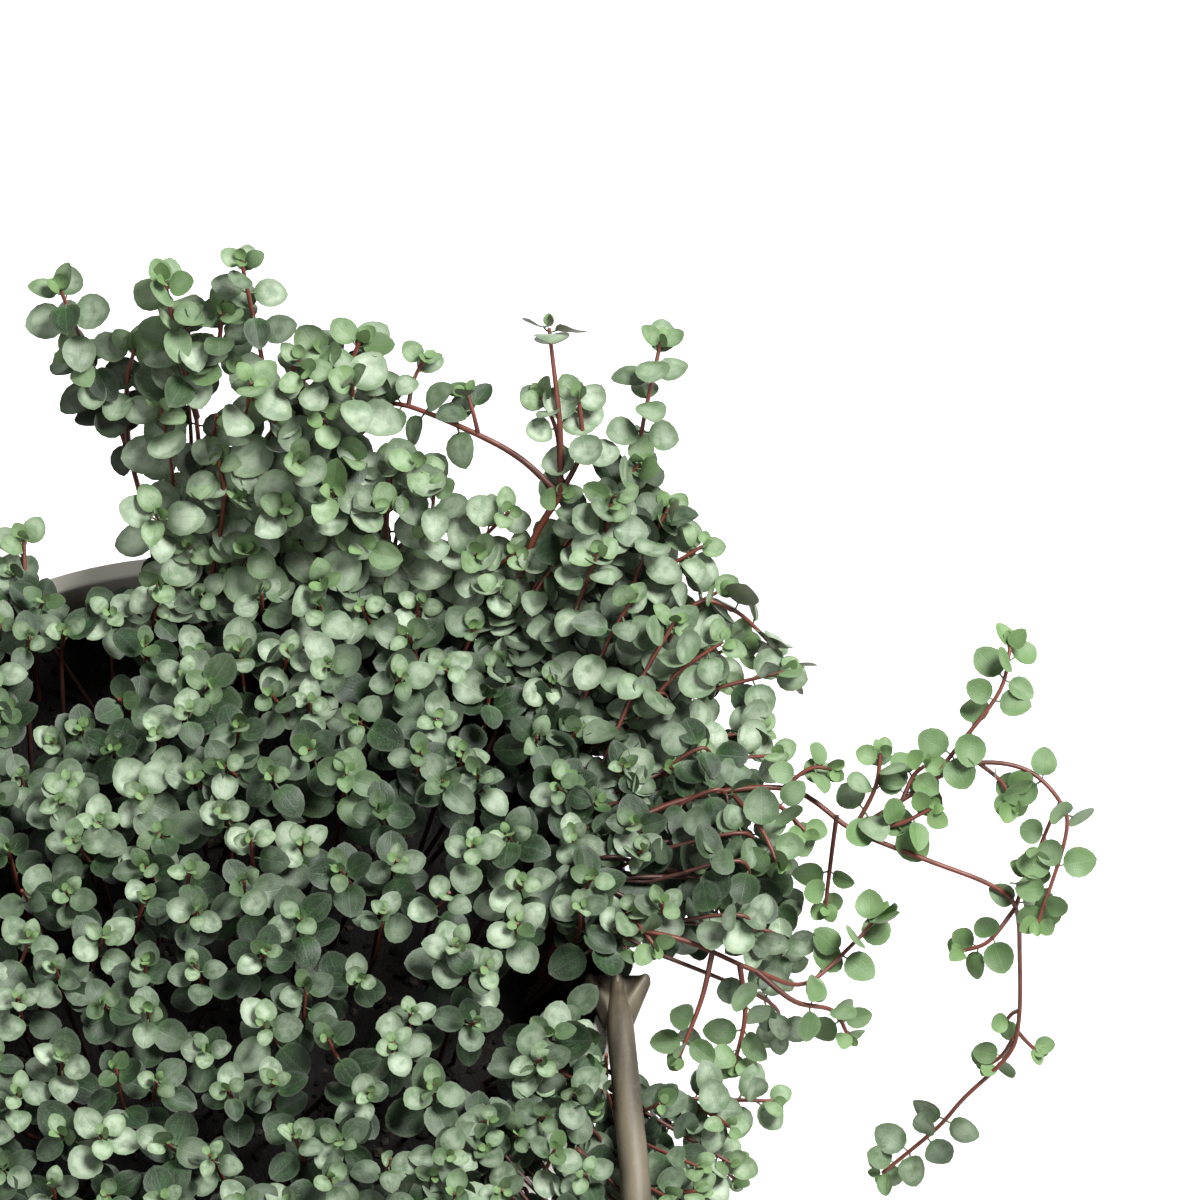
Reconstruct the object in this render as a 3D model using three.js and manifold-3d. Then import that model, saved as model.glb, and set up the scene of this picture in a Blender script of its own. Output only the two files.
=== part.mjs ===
// A potted pilea: a round plastic pot of soil with a folded hanger, filled and overhung by a mat of
// small round-leaved stems, with upright shoots at the back and long trailing stems at the right.
//
// Millimetres, +Z up, -Y is the front and +X the right. The origin is the middle of the pot's underside.
// Points of the plant are given as [x, y, height above the rim].

import * as THREE from 'three';
import { mergeVertices } from 'three/addons/utils/BufferGeometryUtils.js';
import Module from 'manifold-3d';

const wasm = await Module();
wasm.setup();

// ---------------------------------------------------------------- driving dimensions

const POT = {
  height: 118,
  rimRadius: 80,
  lipHeight: 10,
  lipStep: 1.8,
  baseRadius: 58,
  wall: 2,
  floor: 2.4,
  edge: 0.8,
  facets: 36,
  drainHoles: 4,
  drainRadius: 4,
  drainCircle: 40,
};

const SOIL = {
  belowRim: 14,
  gap: 0.3,
  facets: 22,
  holeDepth: 12,
  holeSides: 5,
  holeGap: 0.7,
  crumbs: 21,
  crumbRadius: 2.6,
  crumbCircle: 66,
  bareFrom: 60,
  taper: 0.4,
};

const HANGER = {
  rodRadius: 2.4,
  sides: 8,
  steps: 24,
  clipX: 77.6,
  clipY: -14.4,
  clipLift: 0.4,
  fanWidth: 12.2,
  fanLength: 10,
  fanThickness: 1.6,
  fanNose: 2.4,
  fanCorner: 0.6,
  ribRadius: 1,
  ribEndRadius: 1.5,
  ribSides: 6,
  jawThickness: 1.6,
  jawDepth: 8,
  jawLength: 7,
  jawGap: 0.4,
};

// The right arm's middle line, from the clip forward over the leaves and down to the arch.
const HANGER_ARM = [
  [77.8, -20, 3],
  [78.4, -28, 3.3],
  [79.7, -43, 2.8],
  [81, -60, -0.6],
  [80.5, -84, -13],
  [76, -112, -38],
  [62, -140, -72],
  [36, -158, -100],
  [0, -165, -112.6],
];

const STEM = { step: 13, thick: 1, thin: 0.8, thickSides: 4, thinSides: 3, rootDepth: -25 };

// A blade for a leaf 1 mm long: how much its edges rise, the disc it fills, half its width at two
// distances from its root, and half the width of its root on a stem and in a rosette. The root of a
// leaf on a stem starts a little out from the stem's middle line, in millimetres.
const BLADE = {
  thickness: 0.7,
  cup: 0.35,
  middle: 0.55,
  reach: 0.45,
  half: [[0.4, 0.55], [0.25, 0.95]],
  root: 0.035,
  rootOut: 0.22,
  joint: 0.13,
};

// A rosette: two opposite pairs a quarter turn apart, with how steeply each rises, and its share of the length.
const ROSETTE = { leaves: 4, lifts: [9, 30], sizes: [1, 0.85] };

// How long the leaves are: at a shoot's tip, along it, and in the mat, where fewer and larger ones
// cover the same surface.
const LEAF_LENGTH = { shoot: 8.8, pair: 8.4, mat: 14 };

// The mat's upper surface, from its middle out over the rim: [radius, height above the rim].
const CANOPY = [[0, 20], [26, 21], [52, 18], [74, 14], [90, 6], [99, -6], [99, -22]];

// The denser mass under the middle leaves, as [radius, height above the rim].
const CORE = [[0, -10], [50, -10], [54, -4], [53, 5], [36, 11], [0, 13]];

const MAT = {
  spacing: 29,
  rowSpacing: 23.5,
  rows: 6,
  scatter: 5,
  unevenness: 4,
  turns: [0, 3, -3, 6, -6],
  stemRadius: 0.8,
  stemSides: 3,
  stemSteps: 3,
  trunkRadius: 1.6,
  trunkCircle: 61,
  trunkTop: 2,
  trunkSides: 5,
  innerTrunkTop: -6,
  coreFacets: 30,
  coreDepth: 60,
  stemSink: 4,
  footBelow: 3,
  forkStep: 0.6,
  cellGap: 0.5,
  cellEdge: 1.8,
  cellSteps: 4,
  cellTaper: 2,
  centreRadius: 12,
  innerRadius: 54,
  innerCells: 5,
  outerCells: 10,
  rimStep: 3,
  overRim: 4.5,
  overRimMost: 8,
  holeApart: 6,
};

// ---------------------------------------------------------------- finishes

function finish(colour, roughness) {
  return new THREE.MeshStandardMaterial({ color: colour, roughness, metalness: 0 });
}

const FINISH = {
  pot: finish(0x9b9184, 0.55),
  hanger: finish(0x8a7565, 0.5),
  soil: finish(0x1f1814, 0.95),
  mat: finish(0x7f9a86, 0.6),
  shoot: finish(0x8aa78c, 0.6),
};

// ---------------------------------------------------------------- solids

// A closed geometry as a solid that can be joined and cut.
function solidOf(geometry, matrix = new THREE.Matrix4()) {
  const bare = geometry.clone().applyMatrix4(matrix);
  bare.deleteAttribute('normal');
  bare.deleteAttribute('uv');
  const merged = mergeVertices(bare, 1e-4);
  return new wasm.Manifold(new wasm.Mesh({
    numProp: 3,
    vertProperties: merged.attributes.position.array,
    triVerts: new Uint32Array(merged.index.array),
  }));
}

function joined(solids) {
  return solids.reduce((whole, solid) => whole.add(solid));
}

// Slivers thinner than this are closed up, in millimetres.
const SLIVER = 0.05;

// The largest body of a solid: loose scraps are dropped, and hollows that joining sealed are filled.
function largestBody(solid) {
  const bodies = solid.decompose();
  const largest = bodies.reduce((best, body) => (body.volume() > best.volume() ? body : best));
  return largest.simplify(SLIVER);
}

function meshOf(name, solid, material) {
  const { vertProperties, triVerts } = solid.getMesh();
  const geometry = new THREE.BufferGeometry()
    .setAttribute('position', new THREE.BufferAttribute(new Float32Array(vertProperties), 3))
    .setIndex(new THREE.BufferAttribute(new Uint32Array(triVerts), 1));
  geometry.computeVertexNormals();
  const mesh = new THREE.Mesh(geometry, material);
  mesh.name = name;
  return mesh;
}

// A point given above the rim, in the part's frame.
function abovePot([x, y, height]) {
  return new THREE.Vector3(x, y, POT.height + height);
}

function regularPolygon(radius, sides) {
  const turn = (2 * Math.PI) / sides;
  const corners = Array.from({ length: sides }, (_, i) =>
    new THREE.Vector2(radius * Math.cos(turn * (i + 0.5)), radius * Math.sin(turn * (i + 0.5))));
  return new THREE.Shape(corners);
}

function tube(curve, radius, sides, steps) {
  return solidOf(new THREE.ExtrudeGeometry(regularPolygon(radius, sides), { extrudePath: curve, steps }));
}

// A straight round bar from one point to another, with its own radius at each end.
function bar(from, to, radius, sides, endRadius = radius) {
  const span = to.clone().sub(from);
  const geometry = new THREE.CylinderGeometry(endRadius, radius, span.length(), sides);
  const turn = new THREE.Quaternion().setFromUnitVectors(new THREE.Vector3(0, 1, 0), span.clone().normalize());
  const middle = from.clone().add(to).multiplyScalar(0.5);
  return solidOf(geometry, new THREE.Matrix4().compose(middle, turn, new THREE.Vector3(1, 1, 1)));
}

function box(width, depth, height, centre) {
  return solidOf(new THREE.BoxGeometry(width, depth, height), new THREE.Matrix4().setPosition(centre));
}

function lathe(profile, facets) {
  const points = profile.map(([radius, z]) => new THREE.Vector2(radius, z));
  return solidOf(new THREE.LatheGeometry(points, facets), new THREE.Matrix4().makeRotationX(Math.PI / 2));
}

function seeded(seed) {
  let state = seed >>> 0;
  return () => {
    state = (state + 0x6d2b79f5) >>> 0;
    let mix = Math.imul(state ^ (state >>> 15), state | 1);
    mix ^= mix + Math.imul(mix ^ (mix >>> 7), mix | 61);
    return ((mix ^ (mix >>> 14)) >>> 0) / 4294967296;
  };
}

function polar(radius, angle) {
  return [radius * Math.cos(angle), radius * Math.sin(angle)];
}

const degrees = THREE.MathUtils.degToRad;

// ---------------------------------------------------------------- pot

// The inside radius of the pot's wall at a height above its underside.
function potInside(z) {
  const top = POT.rimRadius - POT.lipStep - POT.wall;
  const bottom = POT.baseRadius - POT.wall;
  return bottom + ((top - bottom) * (z - POT.floor)) / (POT.height - POT.lipHeight - POT.floor);
}

function buildPot() {
  const { height, rimRadius, lipHeight, lipStep, baseRadius, wall, floor, edge, facets } = POT;
  const underLip = height - lipHeight;
  const profile = [
    [0, 0],
    [baseRadius - edge, 0],
    [baseRadius, edge],
    [rimRadius - lipStep, underLip],
    [rimRadius - edge, underLip],
    [rimRadius, underLip + edge],
    [rimRadius, height - edge],
    [rimRadius - edge, height],
    [rimRadius - wall - edge, height],
    [potInside(underLip), underLip],
    [potInside(floor), floor],
    [0, floor],
  ];
  let pot = lathe(profile, facets);
  for (let i = 0; i < POT.drainHoles; i += 1) {
    const [x, y] = polar(POT.drainCircle, (2 * Math.PI * i) / POT.drainHoles);
    const from = new THREE.Vector3(x, y, -1);
    const to = new THREE.Vector3(x, y, floor + 1);
    pot = pot.subtract(bar(from, to, POT.drainRadius, 6));
  }
  return pot;
}

// ---------------------------------------------------------------- hanger

// One end of the hanger: a flat fan with three ribs over the rim, and a jaw on each side of the lip.
function hangerClip() {
  const { clipX, clipY, clipLift, fanWidth, fanLength, fanThickness, fanNose, fanCorner } = HANGER;
  const low = POT.height + clipLift;
  const fan = new THREE.Shape([
    new THREE.Vector2(-fanWidth / 2, 0),
    new THREE.Vector2(-HANGER.rodRadius, -fanLength),
    new THREE.Vector2(HANGER.rodRadius, -fanLength),
    new THREE.Vector2(fanWidth / 2, 0),
    new THREE.Vector2(fanWidth / 2 - fanCorner, fanNose),
    new THREE.Vector2(-fanWidth / 2 + fanCorner, fanNose),
  ]);
  const plate = new THREE.ExtrudeGeometry(fan, { depth: fanThickness, bevelEnabled: false });
  const parts = [solidOf(plate, new THREE.Matrix4().setPosition(clipX, clipY, low))];
  const { ribRadius, ribEndRadius, ribSides } = HANGER;
  const ribEnd = new THREE.Vector3(clipX, clipY - fanLength, low + fanThickness);
  for (const side of [-1, 0, 1]) {
    const across = clipX + side * (fanWidth / 2 - ribRadius);
    const start = new THREE.Vector3(across, clipY + fanNose - ribRadius, low + fanThickness);
    parts.push(bar(start, ribEnd, ribRadius, ribSides, ribEndRadius));
  }
  const { jawThickness, jawLength, jawDepth, jawGap } = HANGER;
  const jawY = clipY + fanNose - jawLength / 2;
  const jawZ = low + fanThickness / 2 - jawDepth / 2;
  const lipInside = potInside(POT.height - POT.lipHeight) - jawGap;
  const outer = Math.sqrt((POT.rimRadius + jawGap) ** 2 - clipY ** 2) + jawThickness;
  const inner = Math.sqrt(lipInside ** 2 - (jawY - jawLength / 2) ** 2) - jawThickness;
  for (const x of [outer, inner]) {
    parts.push(box(jawThickness, jawLength, jawDepth, new THREE.Vector3(x, jawY, jawZ)));
  }
  return joined(parts);
}

function buildHanger() {
  const { clipX, clipY, fanLength, clipLift, rodRadius } = HANGER;
  const start = new THREE.Vector3(clipX, clipY - fanLength / 2, POT.height + clipLift + rodRadius);
  const right = [start, ...HANGER_ARM.map(abovePot)];
  const left = right.slice(0, -1).reverse().map((p) => new THREE.Vector3(-p.x, p.y, p.z));
  const arch = new THREE.CatmullRomCurve3([...right, ...left]);
  const clip = hangerClip();
  return joined([tube(arch, rodRadius, HANGER.sides, HANGER.steps), clip, clip.mirror([1, 0, 0])]);
}

// ---------------------------------------------------------------- leafy shoots

// Each shoot is one leafy stem. A stem's path starts 25 mm under the rim in the soil, or at a point of
// the stem it branches from. Pairs are fractions of its length where two leaves stand opposite each
// other, each pair a quarter turn from the last, and every stem ends in a rosette.
const SHOOTS = [
  { name: 'shoot_back_left', stems: [
    { path: [[-6, 60, -25], [-6, 60, -12], [-8, 72, 6], [-13, 86, 26], [-21, 98, 44], [-25, 104, 54]],
      pairs: [0.62, 0.74, 0.87] },
  ] },
  { name: 'shoot_back_middle', stems: [
    { path: [[3, 62, -25], [3, 62, -12], [2, 74, 10], [0, 86, 34], [-1.5, 97, 58]], pairs: [0.78, 0.9] },
  ] },
  { name: 'shoot_back_tall', stems: [
    { path: [[13, 58, -25], [13, 58, -12], [16, 71, 14], [14, 88, 43], [8, 103, 67]], pairs: [0.82] },
  ] },
  { name: 'shoot_back_right', stems: [
    { path: [[27, 60, -25], [27, 60, -12], [27, 72, 10], [25, 86, 33], [24, 94, 47]], pairs: [0.68, 0.85] },
  ] },
  { name: 'shoot_back_low', stems: [
    { path: [[-2, 57, -25], [-2, 57, -12], [2, 66, 10], [5, 74, 27], [4, 79, 35]], pairs: [0.78] },
  ] },
  { name: 'shoot_rim_right', stems: [
    { path: [[36, 50, -25], [36, 50, -12], [35, 61, 8], [35, 72, 24], [36, 80, 33]], pairs: [0.8] },
  ] },
  { name: 'shoot_rim_left', stems: [
    { path: [[-28, 56, -25], [-28, 56, -12], [-30, 67, 4], [-31, 76, 12]], pairs: [0.78] },
  ] },
  { name: 'runner_back', stems: [
    { path: [[50, 44, -25], [50, 44, -12], [57, 59, 10], [62, 69, 22], [67, 74, 30]], pairs: [0.9],
      radius: STEM.thick },
    { path: [[67, 74, 30], [60, 78.5, 35], [52, 82, 38], [39, 88, 38.5], [32, 90, 36]], pairs: [0.55, 0.8] },
    { path: [[67, 74, 30], [67, 82, 40], [65, 97, 51]], pairs: [] },
    { path: [[67, 74, 30], [72, 80, 36], [71, 87, 43]], pairs: [0.7] },
  ] },
  { name: 'shoot_corner', stems: [
    { path: [[57, 34, -25], [57, 34, -12], [62, 42, 4], [69, 53, 14], [79, 72, 30], [83, 86, 42],
      [85.6, 97, 49]], pairs: [0.72, 0.9] },
  ] },
  { name: 'shoot_corner_low', stems: [
    { path: [[63, 24, -25], [63, 24, -12], [67, 31, 5], [74, 44, 12], [82, 62, 25], [87, 71, 31]],
      pairs: [0.8] },
  ] },
  { name: 'shoot_right_bend', stems: [
    { path: [[66, 13, -25], [66, 13, -12], [71, 20, 5], [77, 32, 9], [85, 47, 15], [92, 57, 19], [99, 57, 17],
      [105, 54, 12], [110, 50, 7]], pairs: [0.74, 0.88] },
  ] },
  { name: 'trailer_right', stems: [
    { path: [[62, 2, -25], [62, 2, -12], [72, 10, 4], [86, 20, 8], [108, 24, 8], [121, 18, 3], [134, 13, 1],
      [146, 10, -3], [151, 8, -8], [152, 4, -20], [152, -2, -32], [150, -6, -38], [142, -11, -45],
      [137, -14, -51], [126, -20, -60]], pairs: [0.4, 0.47, 0.79, 0.9], radius: STEM.thick },
    { path: [[121, 18, 3], [130, 22, 7], [135, 25, 9], [141, 31, 13], [148, 39, 18], [150, 48, 21]],
      pairs: [0.35, 0.72] },
    { path: [[135, 25, 9], [144, 27, 12], [153, 26, 11], [160, 21, 8], [161, 16, 4], [155, 3, -5]],
      pairs: [0.45, 0.8] },
    { path: [[151, 8, -8], [146, 2, -10], [141, 1, -12]], pairs: [] },
    { path: [[118, 20, 5], [117, 15, -2], [116, 9, -9]], pairs: [] },
  ] },
  { name: 'shoot_right_front', stems: [
    { path: [[64, -4, -25], [64, -4, -12], [73, -5, 5], [88, -8, 8], [103, -11, 1], [112, -10, -5],
      [121, -2, -4], [126, 4, -3]], pairs: [0.66, 0.86], radius: STEM.thick },
    { path: [[103, -11, 1], [110, -15, -3], [117, -14, -8], [120, -17, -12]], pairs: [0.6] },
    { path: [[95, -9.6, 5.4], [93, -17, 1], [88, -27, -4]], pairs: [] },
  ] },
  { name: 'shoot_right_low', stems: [
    { path: [[58, -34, -25], [58, -34, -12], [66, -34, 3.6], [71.5, -36, 2.6], [76, -37, 0],
      [80, -37, -4], [90, -34, -6], [99, -33, -8], [106, -32, -10]], pairs: [0.72, 0.86] },
  ] },
  { name: 'shoot_front_corner', stems: [
    { path: [[50, -46, -25], [50, -46, -12], [57, -50, 2.8], [61, -54, 2.6], [69, -57, -4], [78, -54, -9],
      [88, -48, -11], [99, -43, -13]], pairs: [0.7, 0.85] },
  ] },
  { name: 'shoot_front_right', stems: [
    { path: [[38, -54, -25], [38, -54, -12], [44, -66, 5], [50, -82, 7], [55, -96, -2], [57, -103, -18]],
      pairs: [0.62, 0.82] },
  ] },
  { name: 'trailer_front', stems: [
    { path: [[6, -60, -25], [6, -60, -12], [9, -74, 5], [12, -92, 6], [17, -107, -6], [20, -113, -26],
      [17, -115, -44]], pairs: [0.55, 0.7, 0.85] },
  ] },
  { name: 'trailer_front_left', stems: [
    { path: [[-38, -50, -25], [-38, -50, -12], [-45, -60, 5], [-55, -74, 6], [-67, -89, -8],
      [-73, -97, -28], [-75, -100, -48], [-72, -102, -62]], pairs: [0.5, 0.66, 0.83] },
  ] },
  { name: 'shoot_left_front', stems: [
    { path: [[-58, -32, -25], [-58, -32, -12], [-66, -34, 3.6], [-71.5, -36, 2.6], [-76, -37, 0],
      [-80, -38, -4], [-92, -40, -8], [-102, -42, -20], [-105, -42, -34]], pairs: [0.6, 0.8] },
  ] },
  { name: 'trailer_left', stems: [
    { path: [[-62, 4, -25], [-62, 4, -12], [-73, 6, 5], [-92, 10, 8], [-110, 14, -2], [-119, 12, -18],
      [-122, 7, -36]], pairs: [0.55, 0.7, 0.85] },
  ] },
  { name: 'shoot_left_back', stems: [
    { path: [[-50, 40, -25], [-50, 40, -12], [-58, 52, 8], [-70, 66, 22], [-80, 77, 29]], pairs: [0.7, 0.86] },
  ] },
];

// How a pair stands on its stem: how steeply its leaves rise, how far the first pair is turned, and
// how far their faces turn from straight up towards the stem's tip.
const PAIR = { lift: 25, turn: 20, upward: 0.75, forward: 0.55 };

// A leaf: where it joins its stem, the way it points, the way its upper face looks, and its length.
function makeLeaf(root, along, facing, length) {
  const y = along.clone().normalize();
  const z = facing.clone().addScaledVector(y, -facing.dot(y)).normalize();
  const x = y.clone().cross(z);
  const centre = root.clone().addScaledVector(y, length * BLADE.middle);
  return { root, x, y, z, centre, length, radius: length * BLADE.reach };
}

// A flat outline as a plate, its faces moved up alike by a rule, and put in its place.
function plateSolid(outline, rise, matrix) {
  const plate = new THREE.ExtrudeGeometry(new THREE.Shape(outline), {
    depth: BLADE.thickness,
    bevelEnabled: false,
  });
  const position = plate.getAttribute('position');
  for (let i = 0; i < position.count; i += 1) {
    const lift = rise(position.getX(i), position.getY(i));
    position.setZ(i, position.getZ(i) - BLADE.thickness / 2 + lift);
  }
  return solidOf(plate, matrix);
}

// The corners of one blade that points along +Y, from its right root to its left one.
function bladeCorners(length) {
  const right = BLADE.half.map(([half, along]) => new THREE.Vector2(half * length, along * length));
  const left = BLADE.half.map(([half, along]) => new THREE.Vector2(-half * length, along * length));
  return [...right, ...left.reverse()];
}

// A single leaf with its root sunk in its stem, its edges a little higher than its midrib.
function leafSolid({ root, x, y, z, length }) {
  const foot = [-1, 1].map((side) => new THREE.Vector2(side * BLADE.root * length, 0));
  const cup = (px) => (BLADE.cup * px * px) / length;
  const matrix = new THREE.Matrix4().makeBasis(x, y, z).setPosition(root);
  return plateSolid([foot[0], foot[1], ...bladeCorners(length)], cup, matrix);
}

// The way a rosette's first leaf lies: square to its axis, turned about it.
function firstAcross(axis, spin) {
  const side = Math.abs(axis.z) < 0.9 ? new THREE.Vector3(0, 0, 1) : new THREE.Vector3(1, 0, 0);
  return axis.clone().cross(side).normalize().applyAxisAngle(axis, spin);
}

// The leaves round a tip: opposite pairs, each a quarter turn on, the second shorter and steeper.
function rosetteLeaves(tip, axis, spin, length) {
  const across = firstAcross(axis, spin);
  return Array.from({ length: ROSETTE.leaves }, (_, index) => {
    const out = across.clone().applyAxisAngle(axis, (index * 2 * Math.PI) / ROSETTE.leaves);
    const lift = degrees(ROSETTE.lifts[index % 2]);
    const along = out.multiplyScalar(Math.cos(lift)).addScaledVector(axis, Math.sin(lift));
    return { ...makeLeaf(tip.clone(), along, axis, length * ROSETTE.sizes[index % 2]), index };
  });
}

// A rosette as one plate: its blades meet in a small square at the tip, and each rises on its own.
function rosetteSolid(tip, axis, spin, length, leaves) {
  const quarter = (2 * Math.PI) / ROSETTE.leaves;
  const joint = BLADE.joint * length;
  const middle = new THREE.Vector2();
  const placed = ({ x: across, y: along }, index) => {
    const foreshortened = along * Math.cos(degrees(ROSETTE.lifts[index % 2]));
    return new THREE.Vector2(across, foreshortened).rotateAround(middle, index * quarter - Math.PI / 2);
  };
  const outline = [];
  for (let index = 0; index < ROSETTE.leaves; index += 1) {
    outline.push(new THREE.Vector2(joint, joint).rotateAround(middle, index * quarter - Math.PI / 2));
    const leaf = leaves.find((one) => one.index === index);
    if (leaf) outline.push(...bladeCorners(leaf.length).map((corner) => placed(corner, index)));
  }
  const rise = (px, py) => {
    const index = Math.round(Math.atan2(py, px) / quarter + ROSETTE.leaves) % ROSETTE.leaves;
    const along = Math.cos(index * quarter) * px + Math.sin(index * quarter) * py;
    return Math.max(0, along - joint) * Math.tan(degrees(ROSETTE.lifts[index % 2]));
  };
  const x = firstAcross(axis, spin);
  const matrix = new THREE.Matrix4().makeBasis(x, axis.clone().cross(x), axis).setPosition(tip);
  return plateSolid(outline, rise, matrix);
}

// The two leaves of a pair part of the way along a stem, their upper faces turned to the light.
function pairLeaves(curve, at, quarter) {
  const point = curve.getPointAt(at);
  const tangent = curve.getTangentAt(at);
  const up = new THREE.Vector3(0, 0, 1);
  const across = tangent.clone().cross(up).normalize();
  const facing = up.clone().multiplyScalar(PAIR.upward).addScaledVector(tangent, PAIR.forward);
  const lift = degrees(PAIR.lift);
  return [0, 1].map((half) => {
    const turn = degrees(PAIR.turn) + quarter * (Math.PI / 2) + half * Math.PI;
    const out = across.clone().applyAxisAngle(tangent, turn);
    const along = out.clone().multiplyScalar(Math.cos(lift)).addScaledVector(tangent, Math.sin(lift));
    return makeLeaf(point.clone().addScaledVector(out, BLADE.rootOut), along, facing, LEAF_LENGTH.pair);
  });
}

// A stem's middle line. One that starts in the soil stays upright until it is out of its hole.
function curveOf(path) {
  const points = path.map(abovePot);
  if (path[0][2] === STEM.rootDepth) points.splice(1, 0, points[0].clone().lerp(points[1], 0.5));
  return new THREE.CatmullRomCurve3(points, false, 'centripetal');
}

function stepsOf(curve) {
  return Math.max(2, Math.ceil(curve.getLength() / STEM.step - 0.1));
}

// ---------------------------------------------------------------- room between the pieces

// Clearances between leaves of different nodes and of one node, between a leaf and a stem, and to the
// pot; how far leaves stay above the soil; and how closely stems and leaves are sampled.
const CLEAR = { leaf: 1.15, own: 0.8, stem: 0.9, pot: 0.8, soil: 3, bead: 1.5, samples: 12, steps: 16 };

// The height of the core's top above the rim at a distance from the pot's middle.
function coreTop(radius) {
  const top = CORE.slice(3).reverse();
  const next = top.findIndex(([r]) => r >= radius);
  if (next < 1) return next === 0 ? top[0][1] : -Infinity;
  const [r0, z0] = top[next - 1];
  const [r1, z1] = top[next];
  return z0 + ((z1 - z0) * (radius - r0)) / (r1 - r0);
}

// Along the back the mat ends at the rim, where upright shoots stand instead of an overhang.
const BACK = { from: degrees(58), to: degrees(132), reach: 84 };

function isBack(angle) {
  return angle > BACK.from && angle < BACK.to;
}

// The gap in the mat at the back on the left, where the soil and the inside of the rim show.
const HOLLOW = { x: -23, y: 66, radius: 13 };

// What already stands in the plant's space: leaves as thin discs, stems and bars as rows of beads.
class Room {
  constructor() {
    this.discs = [];
    this.beads = [];
  }

  addBar(curve, radius, owner) {
    const count = Math.ceil(curve.getLength() / CLEAR.bead);
    for (let i = 0; i <= count; i += 1) {
      this.beads.push({ centre: curve.getPointAt(i / count), radius, owner });
    }
  }

  addLeaf(leaf, owner, rosette) {
    this.discs.push({ leaf, owner, rosette, samples: Room.samplesOf(leaf) });
  }

  static samplesOf({ centre, x, y, radius }) {
    const samples = [centre];
    for (let i = 0; i < CLEAR.samples; i += 1) {
      const turn = (2 * Math.PI * i) / CLEAR.samples;
      for (const part of [0.5, 1]) {
        samples.push(centre.clone()
          .addScaledVector(x, part * radius * Math.cos(turn))
          .addScaledVector(y, part * radius * Math.sin(turn)));
      }
    }
    return samples;
  }

  static distanceTo({ centre, z, radius }, point) {
    const offset = point.clone().sub(centre);
    const height = offset.dot(z);
    const inPlane = Math.sqrt(Math.max(0, offset.lengthSq() - height * height));
    return Math.hypot(height, Math.max(0, inPlane - radius));
  }

  static hitsPot({ x, y, z }) {
    const radius = Math.hypot(x, y);
    const above = z - POT.height;
    if (above > CLEAR.pot) return false;
    const inHollow = radius < potInside(z) - CLEAR.pot;
    if (inHollow) return above < CLEAR.soil - SOIL.belowRim;
    const lip = above > -POT.lipHeight - CLEAR.pot;
    const wall = potInside(z) + POT.wall;
    return radius < (lip ? POT.rimRadius : wall) + CLEAR.pot;
  }

  static hitsCore({ x, y, z }) {
    const radius = Math.hypot(x, y);
    return radius < MAT.innerRadius + CLEAR.pot && z - POT.height < coreTop(radius) + CLEAR.pot;
  }

  isClear(leaf, owner, rosette) {
    const samples = Room.samplesOf(leaf);
    if (samples.some((point) => Room.hitsPot(point) || Room.hitsCore(point))) return false;
    for (const other of this.discs) {
      if (other.rosette === rosette) continue;
      const gap = other.owner === owner ? CLEAR.own : CLEAR.leaf;
      const reach = leaf.radius + other.leaf.radius + gap + 1;
      if (leaf.centre.distanceTo(other.leaf.centre) > reach) continue;
      if (samples.some((point) => Room.distanceTo(other.leaf, point) < gap)) return false;
      if (other.samples.some((point) => Room.distanceTo(leaf, point) < gap)) return false;
    }
    return this.beads.every((bead) =>
      bead.owner === owner || Room.distanceTo(leaf, bead.centre) > bead.radius + CLEAR.stem);
  }
}

const room = new Room();

// ---------------------------------------------------------------- the shoots' nodes

const soilHoles = [];

function planShoot({ name, stems }) {
  return stems.map((stem, index) => {
    const curve = curveOf(stem.path);
    const radius = stem.radius ?? STEM.thin;
    room.addBar(curve, radius, name);
    if (index === 0) {
      const [x, y] = stem.path[0];
      soilHoles.push({ x, y, radius: radius + SOIL.holeGap });
    }
    return { curve, radius, pairs: stem.pairs };
  });
}

function buildShoot(name, stems) {
  const solids = [];
  stems.forEach(({ curve, radius, pairs }, index) => {
    const sides = radius > STEM.thin ? STEM.thickSides : STEM.thinSides;
    solids.push(tube(curve, radius, sides, stepsOf(curve)));
    const rosette = `${name}_${index}`;
    const tip = curve.getPointAt(1);
    const goesOn = stems.some((other) => other.curve.getPointAt(0).distanceTo(tip) < 0.1);
    if (!goesOn) {
      const axis = curve.getTangentAt(1);
      const spin = index + pairs.length;
      const leaves = rosetteLeaves(tip, axis, spin, LEAF_LENGTH.shoot)
        .filter((leaf) => room.isClear(leaf, name, rosette));
      leaves.forEach((leaf) => room.addLeaf(leaf, name, rosette));
      if (leaves.length > 0) solids.push(rosetteSolid(tip, axis, spin, LEAF_LENGTH.shoot, leaves));
    }
    pairs.forEach((at, quarter) => {
      const id = `${rosette}_${at}`;
      const leaves = pairLeaves(curve, at, quarter).filter((leaf) => room.isClear(leaf, name, id));
      leaves.forEach((leaf) => room.addLeaf(leaf, name, id));
      solids.push(...leaves.map(leafSolid));
    });
  });
  return largestBody(joined(solids));
}

// ---------------------------------------------------------------- the mat

// How far the mat reaches from the pot's middle, by direction: further at the right, less at the back.
const REACH = { mean: 100, right: 8, turn: 0.3, back: 9 };

function matReach(angle) {
  return REACH.mean + REACH.right * Math.cos(angle + REACH.turn) - REACH.back * Math.max(0, Math.sin(angle));
}

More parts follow.
